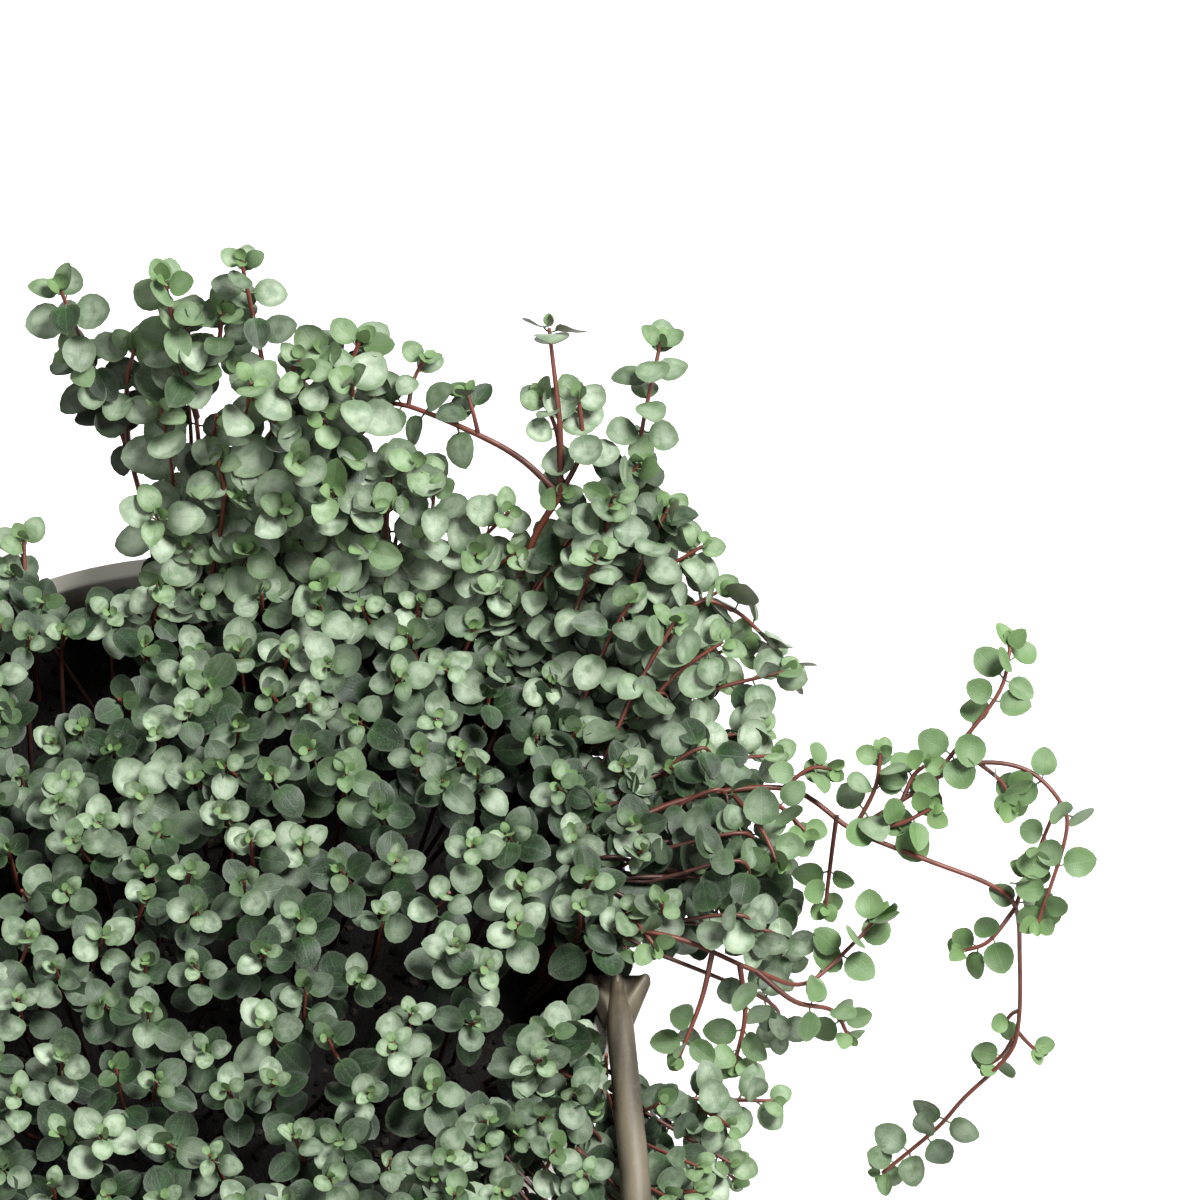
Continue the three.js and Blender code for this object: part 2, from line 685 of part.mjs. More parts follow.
// A point of the mat's upper surface and the way it faces, from the distance along its profile.
function canopyAt(distance, angle) {
  let left = distance;
  let index = 0;
  const spans = CANOPY.slice(1).map(([r, z], i) => Math.hypot(r - CANOPY[i][0], z - CANOPY[i][1]));
  while (index < spans.length - 1 && left > spans[index]) {
    left -= spans[index];
    index += 1;
  }
  const [r0, z0] = CANOPY[index];
  const [r1, z1] = CANOPY[index + 1];
  const share = left / spans[index];
  const stretch = matReach(angle) / CANOPY[CANOPY.length - 1][0];
  const radius = (r0 + (r1 - r0) * share) * stretch;
  const [x, y] = polar(radius, angle);
  const slope = Math.atan2(z0 - z1, r1 - r0);
  const outward = Math.sin(slope);
  const facing = new THREE.Vector3(outward * Math.cos(angle), outward * Math.sin(angle), Math.cos(slope));
  return { radius, angle, point: abovePot([x, y, z0 + (z1 - z0) * share]), facing };
}

// The mat's cells: one in the middle and a ring of inner ones over the core, and a ring of outer ones.
function matCells() {
  const ring = (name, count, from, to, offset) => Array.from({ length: count }, (_, i) => ({
    name: `${name}_${i + 1}`,
    from,
    to,
    start: ((i + offset) * 2 * Math.PI) / count,
    end: ((i + 1 + offset) * 2 * Math.PI) / count,
  }));
  return [
    { name: 'mat_centre', from: 0, to: MAT.centreRadius, start: 0, end: 2 * Math.PI },
    ...ring('mat_inner', MAT.innerCells, MAT.centreRadius, MAT.innerRadius, 0.3),
    ...ring('mat_outer', MAT.outerCells, MAT.innerRadius, Infinity, 0),
  ];
}

// The outline of an inner cell seen from above, a gap narrower than its share of the ring.
function cellOutline({ from, to, start, end }) {
  const gap = MAT.cellGap / 2;
  const steps = MAT.cellSteps;
  if (from === 0) return regularPolygon(to - gap, 12);
  const arc = (radius, inset) => Array.from({ length: steps + 1 }, (_, i) => {
    const trim = Math.asin(inset / radius);
    return new THREE.Vector2(...polar(radius, start + trim + ((end - start - 2 * trim) * i) / steps));
  });
  return new THREE.Shape([...arc(from + gap, gap), ...arc(to + MAT.cellTaper, gap).reverse()]);
}

function cellOf(cells, { radius, angle }) {
  const turn = (angle + 2 * Math.PI) % (2 * Math.PI);
  return cells.find((cell) => {
    const inRing = cell.from <= radius && radius < cell.to;
    return inRing && [0, 2 * Math.PI].some((full) => turn + full >= cell.start && turn + full < cell.end);
  });
}

// Whether a point of an inner cell is so near the next one that its stem would reach into it.
function nearEdge({ from, to, start, end }, { radius, angle }) {
  if (from === 0 || to === Infinity) return false;
  const turn = start + ((angle - start + 4 * Math.PI) % (2 * Math.PI));
  return Math.min(turn - start, end - turn) * radius < MAT.cellEdge;
}

function distanceToPlace({ x, y }, px, py) {
  return Math.hypot(x - px, y - py);
}

// The place of a cell's trunk: near its middle, and clear of every stem that already has a hole.
function trunkPlace({ from, to, start, end }) {
  if (from === 0) return [0, 0];
  const circle = to === Infinity ? MAT.trunkCircle : (from + to) / 2;
  for (let step = 0; step < 24; step += 1) {
    const angle = (start + end) / 2 + degrees(2) * Math.ceil(step / 2) * (step % 2 ? 1 : -1);
    const [x, y] = polar(circle, angle);
    if (soilHoles.every((hole) => distanceToPlace(hole, x, y) > MAT.holeApart)) return [x, y];
  }
  return polar(circle, (start + end) / 2);
}

function isBare({ point, angle, radius }) {
  const inHollow = Math.hypot(point.x - HOLLOW.x, point.y - HOLLOW.y) < HOLLOW.radius;
  return inHollow || (isBack(angle) && radius > BACK.reach);
}

// Where rosettes are wanted: rings along the mat's surface, an even distance apart, with a seeded scatter.
function matPlaces() {
  const random = seeded(7);
  const places = [];
  for (let row = 0; row < MAT.rows; row += 1) {
    const distance = row * MAT.rowSpacing;
    const ring = canopyAt(distance, 0).radius;
    const count = Math.max(1, Math.round((2 * Math.PI * ring) / MAT.spacing));
    for (let i = 0; i < count; i += 1) {
      places.push({
        angle: ((i + 0.5 * (row % 2) + (random() - 0.5) * 0.4) * 2 * Math.PI) / count,
        along: Math.max(0, distance + (random() - 0.5) * MAT.scatter),
        lean: new THREE.Vector3(random() - 0.5, random() - 0.5, 1.1).multiplyScalar(0.8),
        rise: (random() - 0.5) * MAT.unevenness,
        spin: random() * Math.PI,
      });
    }
  }
  return places;
}

// A rosette on the mat's surface, turned a little round the pot from where it was wanted.
function rosetteAt({ angle, along, lean, rise, spin }, turn) {
  const turned = angle + turn;
  const at = canopyAt(along, Math.atan2(Math.sin(turned), Math.cos(turned)));
  at.point.z += rise;
  return { ...at, axis: at.facing.clone().add(lean).normalize(), spin };
}

// The leaves of a rosette that fit, at the turn about its axis where most of them do.
function fittingLeaves(rosette, owner, id) {
  let best = { leaves: [], spin: rosette.spin };
  for (let turn = 0; turn < 6 && best.leaves.length < ROSETTE.leaves; turn += 1) {
    const spin = rosette.spin + degrees(15) * turn;
    const leaves = rosetteLeaves(rosette.point, rosette.axis, spin, LEAF_LENGTH.mat)
      .filter((leaf) => room.isClear(leaf, owner, id));
    if (leaves.length > best.leaves.length) best = { leaves, spin };
  }
  return best;
}

// A rosette's stem: straight up out of the core, or from its cell's trunk and out over the rim. Each
// stem of a cell leaves the trunk a little lower than the last.
function rosetteStem(cell, { radius, angle, point, axis }) {
  const foot = point.clone().addScaledVector(axis, -MAT.footBelow);
  if (cell.to !== Infinity) {
    const top = coreTop(Math.min(radius, MAT.innerRadius - MAT.cellTaper));
    return new THREE.LineCurve3(new THREE.Vector3(point.x, point.y, POT.height + top - MAT.stemSink), point);
  }
  const path = [cell.top.clone().add(new THREE.Vector3(0, 0, -MAT.forkStep * cell.solids.length))];
  if (radius > POT.rimRadius - 2 * MAT.rimStep) {
    const [x, y] = polar(POT.rimRadius - MAT.rimStep, angle);
    const high = Math.min(MAT.overRimMost, point.z - POT.height - MAT.footBelow);
    path.push(abovePot([x, y, Math.max(MAT.overRim, high)]));
    const outside = (POT.rimRadius + radius) / 2 + MAT.rimStep;
    if (point.z < POT.height - 2) path.push(abovePot([...polar(outside, angle), MAT.overRim - 1]));
  }
  return new THREE.CatmullRomCurve3([...path, foot, point], false, 'centripetal');
}

function curveFits(curve, radius, owner) {
  const points = Array.from({ length: CLEAR.steps }, (_, i) => curve.getPointAt(i / (CLEAR.steps - 1)));
  const clearOfStems = room.beads.every((bead) => bead.owner === owner
    || points.every((point) => point.distanceTo(bead.centre) > bead.radius + radius + 1));
  return clearOfStems && room.discs.every((disc) => disc.owner === owner
    || points.every((point) => Room.distanceTo(disc.leaf, point) > radius + CLEAR.stem));
}

// The turn round the pot at which the rosette's stem is clear and most of its leaves fit.
function bestRosette(cells, place, id) {
  let best = null;
  for (const turn of MAT.turns) {
    const rosette = rosetteAt(place, degrees(turn));
    const cell = cellOf(cells, rosette);
    const stem = rosetteStem(cell, rosette);
    if (isBare(rosette) || nearEdge(cell, rosette) || !curveFits(stem, MAT.stemRadius, cell.name)) continue;
    const { leaves, spin } = fittingLeaves(rosette, cell.name, id);
    if (leaves.length > (best ? best.leaves.length : 1)) best = { cell, rosette, stem, leaves, spin };
    if (leaves.length === ROSETTE.leaves) break;
  }
  return best;
}

function buildMat() {
  const core = lathe(CORE.map(([radius, above]) => [radius, POT.height + above]), MAT.coreFacets);
  const cells = matCells().map((cell) => {
    const [x, y] = trunkPlace(cell);
    soilHoles.push({ x, y, radius: MAT.trunkRadius + SOIL.holeGap });
    const top = abovePot([x, y, cell.to === Infinity ? MAT.trunkTop : MAT.innerTrunkTop]);
    const trunk = new THREE.LineCurve3(abovePot([x, y, STEM.rootDepth]), top);
    room.addBar(trunk, MAT.trunkRadius, cell.name);
    return { ...cell, top, solids: [bar(trunk.v1, top, MAT.trunkRadius, MAT.trunkSides)] };
  });
  for (const cell of cells.filter(({ to }) => to !== Infinity)) {
    const prism = new THREE.ExtrudeGeometry(cellOutline(cell), { depth: MAT.coreDepth, bevelEnabled: false });
    const matrix = new THREE.Matrix4().setPosition(0, 0, POT.height - MAT.coreDepth / 2);
    cell.solids.push(core.intersect(solidOf(prism, matrix)));
  }
  matPlaces().forEach((place, index) => {
    const id = `mat_${index}`;
    const found = bestRosette(cells, place, id);
    if (!found) return;
    const { cell, rosette, stem, leaves, spin } = found;
    leaves.forEach((leaf) => room.addLeaf(leaf, cell.name, id));
    room.addBar(stem, MAT.stemRadius, cell.name);
    const steps = stem.isLineCurve3 ? 1 : MAT.stemSteps;
    cell.solids.push(tube(stem, MAT.stemRadius, MAT.stemSides, steps));
    cell.solids.push(rosetteSolid(rosette.point, rosette.axis, spin, LEAF_LENGTH.mat, leaves));
  });
  return cells.map(({ name, solids }) => [name, largestBody(joined(solids))]);
}

// ---------------------------------------------------------------- soil

function buildSoil() {
  const top = POT.height - SOIL.belowRim;
  const bottom = POT.floor + SOIL.gap;
  let soil = lathe([
    [0, bottom],
    [potInside(bottom) - SOIL.gap, bottom],
    [potInside(top) - SOIL.gap - SOIL.taper, top],
    [0, top],
  ], SOIL.facets);
  const random = seeded(3);
  for (let i = 0; i < SOIL.crumbs; i += 1) {
    const [x, y] = polar(SOIL.crumbCircle * Math.sqrt(random()), 2 * Math.PI * random());
    const size = SOIL.crumbRadius * (0.7 + 0.6 * random());
    const turn = new THREE.Matrix4().makeRotationFromEuler(new THREE.Euler(random() * 3, random() * 3, 0));
    const underMat = Math.hypot(x, y) < SOIL.bareFrom && i >= SOIL.crumbs / 3;
    if (underMat || soilHoles.some((hole) => distanceToPlace(hole, x, y) < hole.radius + size + 1)) continue;
    soil = soil.add(solidOf(new THREE.IcosahedronGeometry(size, 0), turn.setPosition(x, y, top - size * 0.35)));
  }
  for (const { x, y, radius } of soilHoles) {
    const low = new THREE.Vector3(x, y, top - SOIL.holeDepth);
    soil = soil.subtract(bar(low, new THREE.Vector3(x, y, top + 4), radius, SOIL.holeSides));
  }
  return largestBody(soil);
}

// ---------------------------------------------------------------- the whole plant

const plant = new THREE.Group();
plant.add(meshOf('pot', buildPot(), FINISH.pot));

const rightArm = HANGER_ARM.map(abovePot);
for (const side of [1, -1]) {
  const points = rightArm.map((p) => new THREE.Vector3(side * p.x, p.y, p.z));
  room.addBar(new THREE.CatmullRomCurve3(points), HANGER.rodRadius, 'hanger');
  const clipMiddle = new THREE.Vector3(side * HANGER.clipX, HANGER.clipY - 2, POT.height);
  const clipEnd = clipMiddle.clone().add(new THREE.Vector3(0, -8, 1));
  room.addBar(new THREE.LineCurve3(clipMiddle, clipEnd), HANGER.fanWidth / 2, 'hanger');
}
plant.add(meshOf('hanger', buildHanger(), FINISH.hanger));

const planned = SHOOTS.map((shoot) => ({ name: shoot.name, stems: planShoot(shoot) }));
for (const { name, stems } of planned) {
  plant.add(meshOf(name, buildShoot(name, stems), FINISH.shoot));
}

for (const [name, solid] of buildMat()) {
  plant.add(meshOf(name, solid, FINISH.mat));
}

plant.add(meshOf('soil', buildSoil(), FINISH.soil));

export default plant;
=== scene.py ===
"""Looks of a potted pilea: a round plastic pot of soil, a folded hanger, a dense mat of small round
silvery leaves, upright shoots at the back and trailing stems at the right. Lengths in the tables of
stems are millimetres, as [x, y, height above the rim]; everything built from them is in metres."""

import logging
import math
import random
from dataclasses import dataclass
from enum import Enum

import bmesh
import bpy
from bmesh.types import BMesh, BMVert
from bpy.types import Collection, Material, Mesh, Node, NodeSocket, NodeTree, Object, bpy_prop_collection
from mathutils import Matrix, Vector, noise


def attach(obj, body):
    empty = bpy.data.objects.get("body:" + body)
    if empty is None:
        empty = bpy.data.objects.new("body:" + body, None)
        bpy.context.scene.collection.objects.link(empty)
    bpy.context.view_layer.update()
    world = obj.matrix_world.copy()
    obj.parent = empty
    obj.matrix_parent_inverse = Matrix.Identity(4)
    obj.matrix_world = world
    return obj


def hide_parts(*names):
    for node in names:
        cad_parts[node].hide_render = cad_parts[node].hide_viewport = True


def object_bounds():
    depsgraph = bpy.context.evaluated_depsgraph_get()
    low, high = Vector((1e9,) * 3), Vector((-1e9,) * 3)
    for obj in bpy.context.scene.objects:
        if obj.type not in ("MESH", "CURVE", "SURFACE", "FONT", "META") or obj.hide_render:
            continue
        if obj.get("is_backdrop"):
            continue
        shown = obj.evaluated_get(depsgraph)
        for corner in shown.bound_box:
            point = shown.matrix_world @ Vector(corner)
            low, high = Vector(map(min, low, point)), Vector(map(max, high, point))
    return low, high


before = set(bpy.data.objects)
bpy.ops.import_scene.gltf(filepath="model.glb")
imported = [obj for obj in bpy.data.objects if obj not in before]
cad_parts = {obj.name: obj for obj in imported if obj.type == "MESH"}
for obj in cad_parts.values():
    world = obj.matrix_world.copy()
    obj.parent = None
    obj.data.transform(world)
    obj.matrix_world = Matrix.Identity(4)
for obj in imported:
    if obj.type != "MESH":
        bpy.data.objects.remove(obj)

MM = 0.001
RIM = 118 * MM
UP = Vector((0, 0, 1))
VIEWWARD = Vector((0.0, -0.530, 0.848))
LIGHTWARD = Vector((0.0, -0.42, 0.9)).normalized()

RIM_GLIMPSE = (-29, -10, 62.5, 71)
THIN_SPOTS = ((-3.5, 4.5, 88.5, 96), (3.5, 7.5, 95, 101), (10, 15.5, 86, 93), (-19, -13, 99, 106), (34, 40, 70, 76))
GLIMPSES = (RIM_GLIMPSE, (-33, -12, 40, 51), (-37, -29, 3, 9), (68, 73, -12, -2), (20, 26, -26, -21),
            (8, 12, 10, 15), (44, 49, 6, 11), (-12, -7, -34, -28), (36, 40, -44, -39))

log = logging.getLogger("pilea")


# --- small tools


def srgb(red: int, green: int, blue: int) -> tuple[float, float, float, float]:
    """Turns a colour as seen on a screen, 0 to 255, into Blender's linear one.

    Args:
        red: Its red, 0 to 255.
        green: Its green, 0 to 255.
        blue: Its blue, 0 to 255.

    Returns:
        The linear colour, opaque.
    """
    linear = [(c / 255 / 12.92) if c / 255 <= 0.04045 else ((c / 255 + 0.055) / 1.055) ** 2.4
              for c in (red, green, blue)]
    return (*linear, 1.0)


def polar(radius: float, angle: float, height: float = 0.0) -> Vector:
    """A point at a distance and a direction from the pot's axis."""
    return Vector((radius * math.cos(angle), radius * math.sin(angle), height))


def seen_from_above(point: Vector) -> tuple[float, float]:
    """Where a point, in metres, lies to a viewer at the photo's angle: millimetres right and up."""
    return point.x / MM, (point.y * VIEWWARD.z - (point.z - RIM) * VIEWWARD.y) / MM


def closes_a_glimpse(point: Vector, glimpses: tuple = GLIMPSES) -> bool:
    """Whether a point, in metres, would close one of the views between the leaves on rim or soil."""
    across, up = seen_from_above(point)
    return any(x0 < across < x1 and y0 < up < y1 for x0, x1, y0, y1 in glimpses)


def blend(low: float, high: float, share: float) -> float:
    """The value that lies a share of the way from low to high."""
    return low + (high - low) * share


def limited(value: float) -> float:
    """The nearest value from 0 to 1."""
    return min(1.0, max(0.0, value))


def above_rim(point: Vector | tuple) -> Vector:
    """The place in metres of a point given in millimetres, its height counted from the rim."""
    return Vector(point) * MM + UP * RIM


def finished(mesh: BMesh, name: str, collection: Collection | None = None) -> Object:
    """Turns an edit mesh into an object.

    Args:
        mesh: The edit mesh; it is freed.
        name: The object's name.
        collection: Where the object goes, if not straight into the scene.

    Returns:
        The new object.
    """
    data = bpy.data.meshes.new(name)
    mesh.to_mesh(data)
    mesh.free()
    made = bpy.data.objects.new(name, data)
    (collection or bpy.context.scene.collection).objects.link(made)
    return made


def worked_out(piece: Object) -> Mesh:
    """A new plain mesh of an object as its modifiers leave it."""
    graph = bpy.context.evaluated_depsgraph_get()
    return bpy.data.meshes.new_from_object(piece.evaluated_get(graph), depsgraph=graph)


def skin(mesh: BMesh, rings: list[list]) -> None:
    """Joins rings of points with faces, each ring to the next one.

    Args:
        mesh: The mesh that the points belong to.
        rings: The rings, all with the same number of points.
    """
    for first, second in zip(rings, rings[1:]):
        for i in range(len(first)):
            after = (i + 1) % len(first)
            mesh.faces.new((first[i], second[i], second[after], first[after]))


class Wiring:
    """Adds nodes to a node tree and joins their sockets."""

    def __init__(self, tree: NodeTree) -> None:
        """Takes the tree that the nodes go into."""
        self.tree = tree

    def add(self, kind: str, inputs: dict | None = None, **settings: object) -> Node:
        """Adds one node.

        Args:
            kind: Blender's name of the node's type.
            inputs: What goes into its sockets, by name or number: a value, or a socket to link from.
            settings: The node's own options.

        Returns:
            The new node.
        """
        node = self.tree.nodes.new(kind)
        for name, value in settings.items():
            setattr(node, name, value)
        self.feed(node, inputs or {})
        return node

    def feed(self, node: Node, inputs: dict) -> None:
        """Fills a node's sockets.

        Args:
            node: The node.
            inputs: What goes into its sockets, by name or number: a value, or a socket to link from.
        """
        for name, value in inputs.items():
            if isinstance(value, NodeSocket):
                self.tree.links.new(value, node.inputs[name])
            else:
                node.inputs[name].default_value = value

    def math(self, operation: str, *values: object) -> NodeSocket:
        """A number worked out from one to three numbers or sockets."""
        return self.add("ShaderNodeMath", dict(enumerate(values)), operation=operation).outputs[0]

    def times(self, first: object, second: object) -> NodeSocket:
        """The product of two numbers or sockets."""
        return self.math("MULTIPLY", first, second)

    def mix(self, factor: object, first: object, second: object) -> NodeSocket:
        """A colour between two colours, each given as a value or a socket."""
        return self.add("ShaderNodeMix", {0: factor, 6: first, 7: second}, data_type="RGBA").outputs[2]

    def ramp(self, value: object, low: float, high: float) -> NodeSocket:
        """A smooth rise from 0 at low to 1 at high.

        Args:
            value: The number or socket that rises.
            low: Where the rise starts.
            high: Where it ends.

        Returns:
            The mask, 0 to 1.
        """
        return self.add("ShaderNodeMapRange", {0: value, 1: low, 2: high}, interpolation_type="SMOOTHSTEP").outputs[0]

    def noise(self, place: object, scale: object, detail: float) -> NodeSocket:
        """Cloudy noise at a place."""
        return self.add("ShaderNodeTexNoise", {"Vector": place, "Scale": scale, "Detail": detail}).outputs[0]

    def named(self, name: str) -> NodeSocket:
        """The value of one of the piece's own attributes."""
        return self.add("ShaderNodeAttribute", attribute_name=name).outputs["Fac"]


class ShaderGroup:
    """A shader node group with named inputs and outputs that several finishes use."""

    def __init__(self, name: str, inputs: dict[str, float], outputs: list[str]) -> None:
        """Makes the empty group.

        Args:
            name: The group's name.
            inputs: Its number sockets and their usual values.
            outputs: Its number outputs.
        """
        self.tree = bpy.data.node_groups.new(name, "ShaderNodeTree")
        for label, value in inputs.items():
            socket = self.tree.interface.new_socket(name=label, in_out="INPUT", socket_type="NodeSocketFloat")
            socket.default_value = value
        for label in outputs:
            self.tree.interface.new_socket(name=label, in_out="OUTPUT", socket_type="NodeSocketFloat")
        self.wiring = Wiring(self.tree)
        self.given = self.wiring.add("NodeGroupInput").outputs

    def close(self, **results: NodeSocket) -> NodeTree:
        """Joins the results to the group's outputs, spaces in their names written as underscores.

        Args:
            results: The sockets, by the name of the output.

        Returns:
            The finished group.
        """
        self.wiring.add("NodeGroupOutput", {name.replace("_", " "): socket for name, socket in results.items()})
        return self.tree


def make_mottle_group() -> NodeTree:
    """Builds the group for cloudy variation over a surface, a mask from 0 to 1, drawn out along Y and Z.

    Returns:
        The group.
    """
    group = ShaderGroup("mottle", {"Scale": 60.0, "Low": 0.35, "High": 0.65, "Stretch": 1.0}, ["Mask"])
    wiring, given = group.wiring, group.given
    axes = wiring.add("ShaderNodeSeparateXYZ", {0: wiring.add("ShaderNodeTexCoord").outputs["Object"]}).outputs
    drawn_out = [wiring.times(axes[i], given["Stretch"]) for i in (1, 2)]
    place = wiring.add("ShaderNodeCombineXYZ", {0: axes[0], 1: drawn_out[0], 2: drawn_out[1]}).outputs[0]
    cloud = wiring.noise(place, given["Scale"], 4.0)
    return group.close(Mask=wiring.ramp(cloud, given["Low"], given["High"]))


def make_grain_group() -> NodeTree:
    """Builds the group for the fine grain of moulded plastic, stems and soil: a height and a mask of specks.

    Returns:
        The group.
    """
    group = ShaderGroup("fine_grain", {"Scale": 1500.0, "Speck": 0.7}, ["Height", "Specks"])
    wiring, given = group.wiring, group.given
    place = wiring.add("ShaderNodeTexCoord").outputs["Object"]
    grain = wiring.noise(place, given["Scale"], 3.0)
    specks = wiring.noise(place, wiring.times(given["Scale"], 0.4), 1.0)
    above = wiring.math("SUBTRACT", specks, given["Speck"])
    return group.close(Height=grain, Specks=wiring.ramp(above, 0.0, 0.06))


@dataclass(frozen=True)
class Effects:
    """The shader node groups that several finishes share."""

    mottle: NodeTree
    grain: NodeTree


@dataclass(frozen=True)
class Finish:
    """A finish: one material, made from shared effects and its own colours."""

    name: str
    effects: Effects

    def begin(self) -> tuple[Wiring, Node, Material]:
        """Makes the material with a Principled shader joined to its output.

        Returns:
            The tools for the material's nodes, its shader and the material.
        """
        material = bpy.data.materials.new(self.name)
        material.use_nodes = True
        material.node_tree.nodes.clear()
        wiring = Wiring(material.node_tree)
        shader = wiring.add("ShaderNodeBsdfPrincipled")
        wiring.add("ShaderNodeOutputMaterial", {"Surface": shader.outputs[0]})
        return wiring, shader, material

    def clouded(self, wiring: Wiring, **values: float) -> NodeSocket:
        """Places the mottle in the material with its own values, and gives its mask."""
        return wiring.add("ShaderNodeGroup", values, node_tree=self.effects.mottle).outputs["Mask"]

    def grained(self, wiring: Wiring, **values: float) -> bpy_prop_collection:
        """Places the fine grain in the material with its own values, and gives its outputs."""
        return wiring.add("ShaderNodeGroup", values, node_tree=self.effects.grain).outputs

    def bump(self, wiring: Wiring, shader: Node, height: NodeSocket,
             distance: float, strength: float) -> None:
        """Raises the surface by a height, up to a distance in metres."""
        bump = wiring.add("ShaderNodeBump", {"Height": height, "Distance": distance, "Strength": strength})
        wiring.feed(shader, {"Normal": bump.outputs[0]})

    def build(self) -> Material:
        """Makes the material."""
        raise NotImplementedError


@dataclass(frozen=True)
class LeafFinish(Finish):
    """Silvery grey-green leaves: greener at the edge and when young, pale and dull underneath;
    painted darker deep in the foliage, with a painted highlight along the rim.
    """

    silver: tuple = srgb(170, 183, 161)
    cool: tuple = srgb(48, 72, 44)
    green: tuple = srgb(44, 80, 30)
    deep_green_and_shade: tuple = srgb(6, 18, 4)
    young: tuple = srgb(104, 134, 80)
    fresh: tuple = srgb(96, 126, 76)
    under: tuple = srgb(122, 126, 106)
    vein_and_rim_highlight: tuple = srgb(182, 192, 172)
    edge: tuple = srgb(84, 66, 50)

    def build(self) -> Material:
        """Makes the material from the leaf's own UV map and its age and tone, low and old ones in painted shade.

        Returns:
            The material.
        """
        wiring, shader, material = self.begin()
        tone, age, below, rim, bloom = map(wiring.named, ("tone", "age", "underside", "rim", "bloom"))
        place = wiring.add("ShaderNodeUVMap", uv_map="leaf").outputs[0]
        x, y, _ = wiring.add("ShaderNodeSeparateXYZ", {0: place}).outputs
        spot = wiring.add("ShaderNodeCombineXYZ", {0: x, 1: y, 2: wiring.times(tone, 40.0)}).outputs[0]
        cloud = wiring.noise(spot, 2.6, 3.0)
        fine = wiring.noise(spot, 26.0, 2.0)
        across = wiring.math("ABSOLUTE", wiring.math("SUBTRACT", x, 0.5))
        sheen = wiring.times(wiring.ramp(cloud, 0.3, 0.62), wiring.ramp(rim, 1.0, 0.55))
        body = wiring.mix(wiring.ramp(tone, 0.15, 0.75), self.cool, self.silver)
        # Painted shade: low tone, which is lowered for deep leaves, turns the green towards near-black.
        leafy = wiring.mix(wiring.ramp(tone, 0.8, 0.15), self.green, self.deep_green_and_shade)
        leafy = wiring.mix(wiring.times(wiring.ramp(bloom, 0.8, 0.1), 0.8), leafy, self.fresh)
        silvery = wiring.times(wiring.math("MULTIPLY_ADD", sheen, 0.48, 0.34), bloom)
        colour = wiring.mix(silvery, leafy, body)
        bow = wiring.times(wiring.math("SINE", wiring.times(y, 3.1)), 0.2)
        side = wiring.math("ABSOLUTE", wiring.math("SUBTRACT", across, bow))
        # Greener towards the foot of the blade: partly the leaf's own colour, partly painted shade where the leaves
        # above overlap it.
        base = wiring.times(wiring.ramp(y, 0.42, 0.0), 0.6)
        ribs = wiring.math("MAXIMUM", wiring.ramp(across, 0.035, 0.0),
                           wiring.times(wiring.ramp(side, 0.03, 0.0), 0.45))
        line = wiring.times(wiring.ramp(rim, 0.95, 1.0), wiring.ramp(tone, 0.55, 0.95))
        for share, over in ((base, self.green), (wiring.times(ribs, 0.05), self.vein_and_rim_highlight),
                            (wiring.times(wiring.ramp(fine, 0.56, 0.7), 0.09), self.vein_and_rim_highlight),
                            # Painted highlight along the rim, in the pale vein colour.
                            (wiring.times(wiring.ramp(rim, 0.7, 0.97), 0.06), self.vein_and_rim_highlight),
                            (wiring.times(line, 0.5), self.edge)):
            colour = wiring.mix(share, colour, over)
        grown = wiring.mix(wiring.times(wiring.ramp(age, 0.3, 0.0), 0.75), colour, self.young)
        under = wiring.mix(wiring.times(cloud, 0.5), self.under, self.green)
        shown = wiring.mix(below, grown, under)
        # Painted shade: older pairs, lying lower in the foliage, darken towards near-black, with some of old leaves'
        # own darker green.
        old = wiring.mix(wiring.times(wiring.ramp(age, 0.55, 1.2), 0.85), shown, self.deep_green_and_shade)
        rough = wiring.math("MULTIPLY_ADD", fine, 0.3, 0.34)
        wiring.feed(shader, {"Base Color": old, "Roughness": rough, "Specular IOR Level": 0.3})
        height = wiring.math("SUBTRACT", fine, wiring.times(ribs, 0.3))
        self.bump(wiring, shader, height, 0.00012, 0.6)
        return material


@dataclass(frozen=True)
class StemFinish(Finish):
    """Thin reddish-brown stems, greener where young and darker where old."""

    young: tuple = srgb(128, 118, 74)
    red: tuple = srgb(108, 54, 40)
    old: tuple = srgb(46, 26, 20)

    def build(self) -> Material:
        """Makes the material from the stem's age along its length.

        Returns:
            The material.
        """
        wiring, shader, material = self.begin()
        age = wiring.named("age")
        cloud = self.clouded(wiring, Scale=420.0, Low=0.3, High=0.7)
        grain = self.grained(wiring, Scale=2600.0)
        colour = wiring.mix(wiring.ramp(age, 0.05, 0.35), self.young, self.red)
        colour = wiring.mix(wiring.ramp(age, 0.75, 1.1), colour, self.old)
        darker = wiring.times(cloud, 0.35)
        wiring.feed(shader, {"Base Color": wiring.mix(darker, colour, self.old),
                             "Roughness": wiring.math("MULTIPLY_ADD", cloud, 0.2, 0.4)})
        self.bump(wiring, shader, grain["Height"], 0.00008, 0.5)
        return material


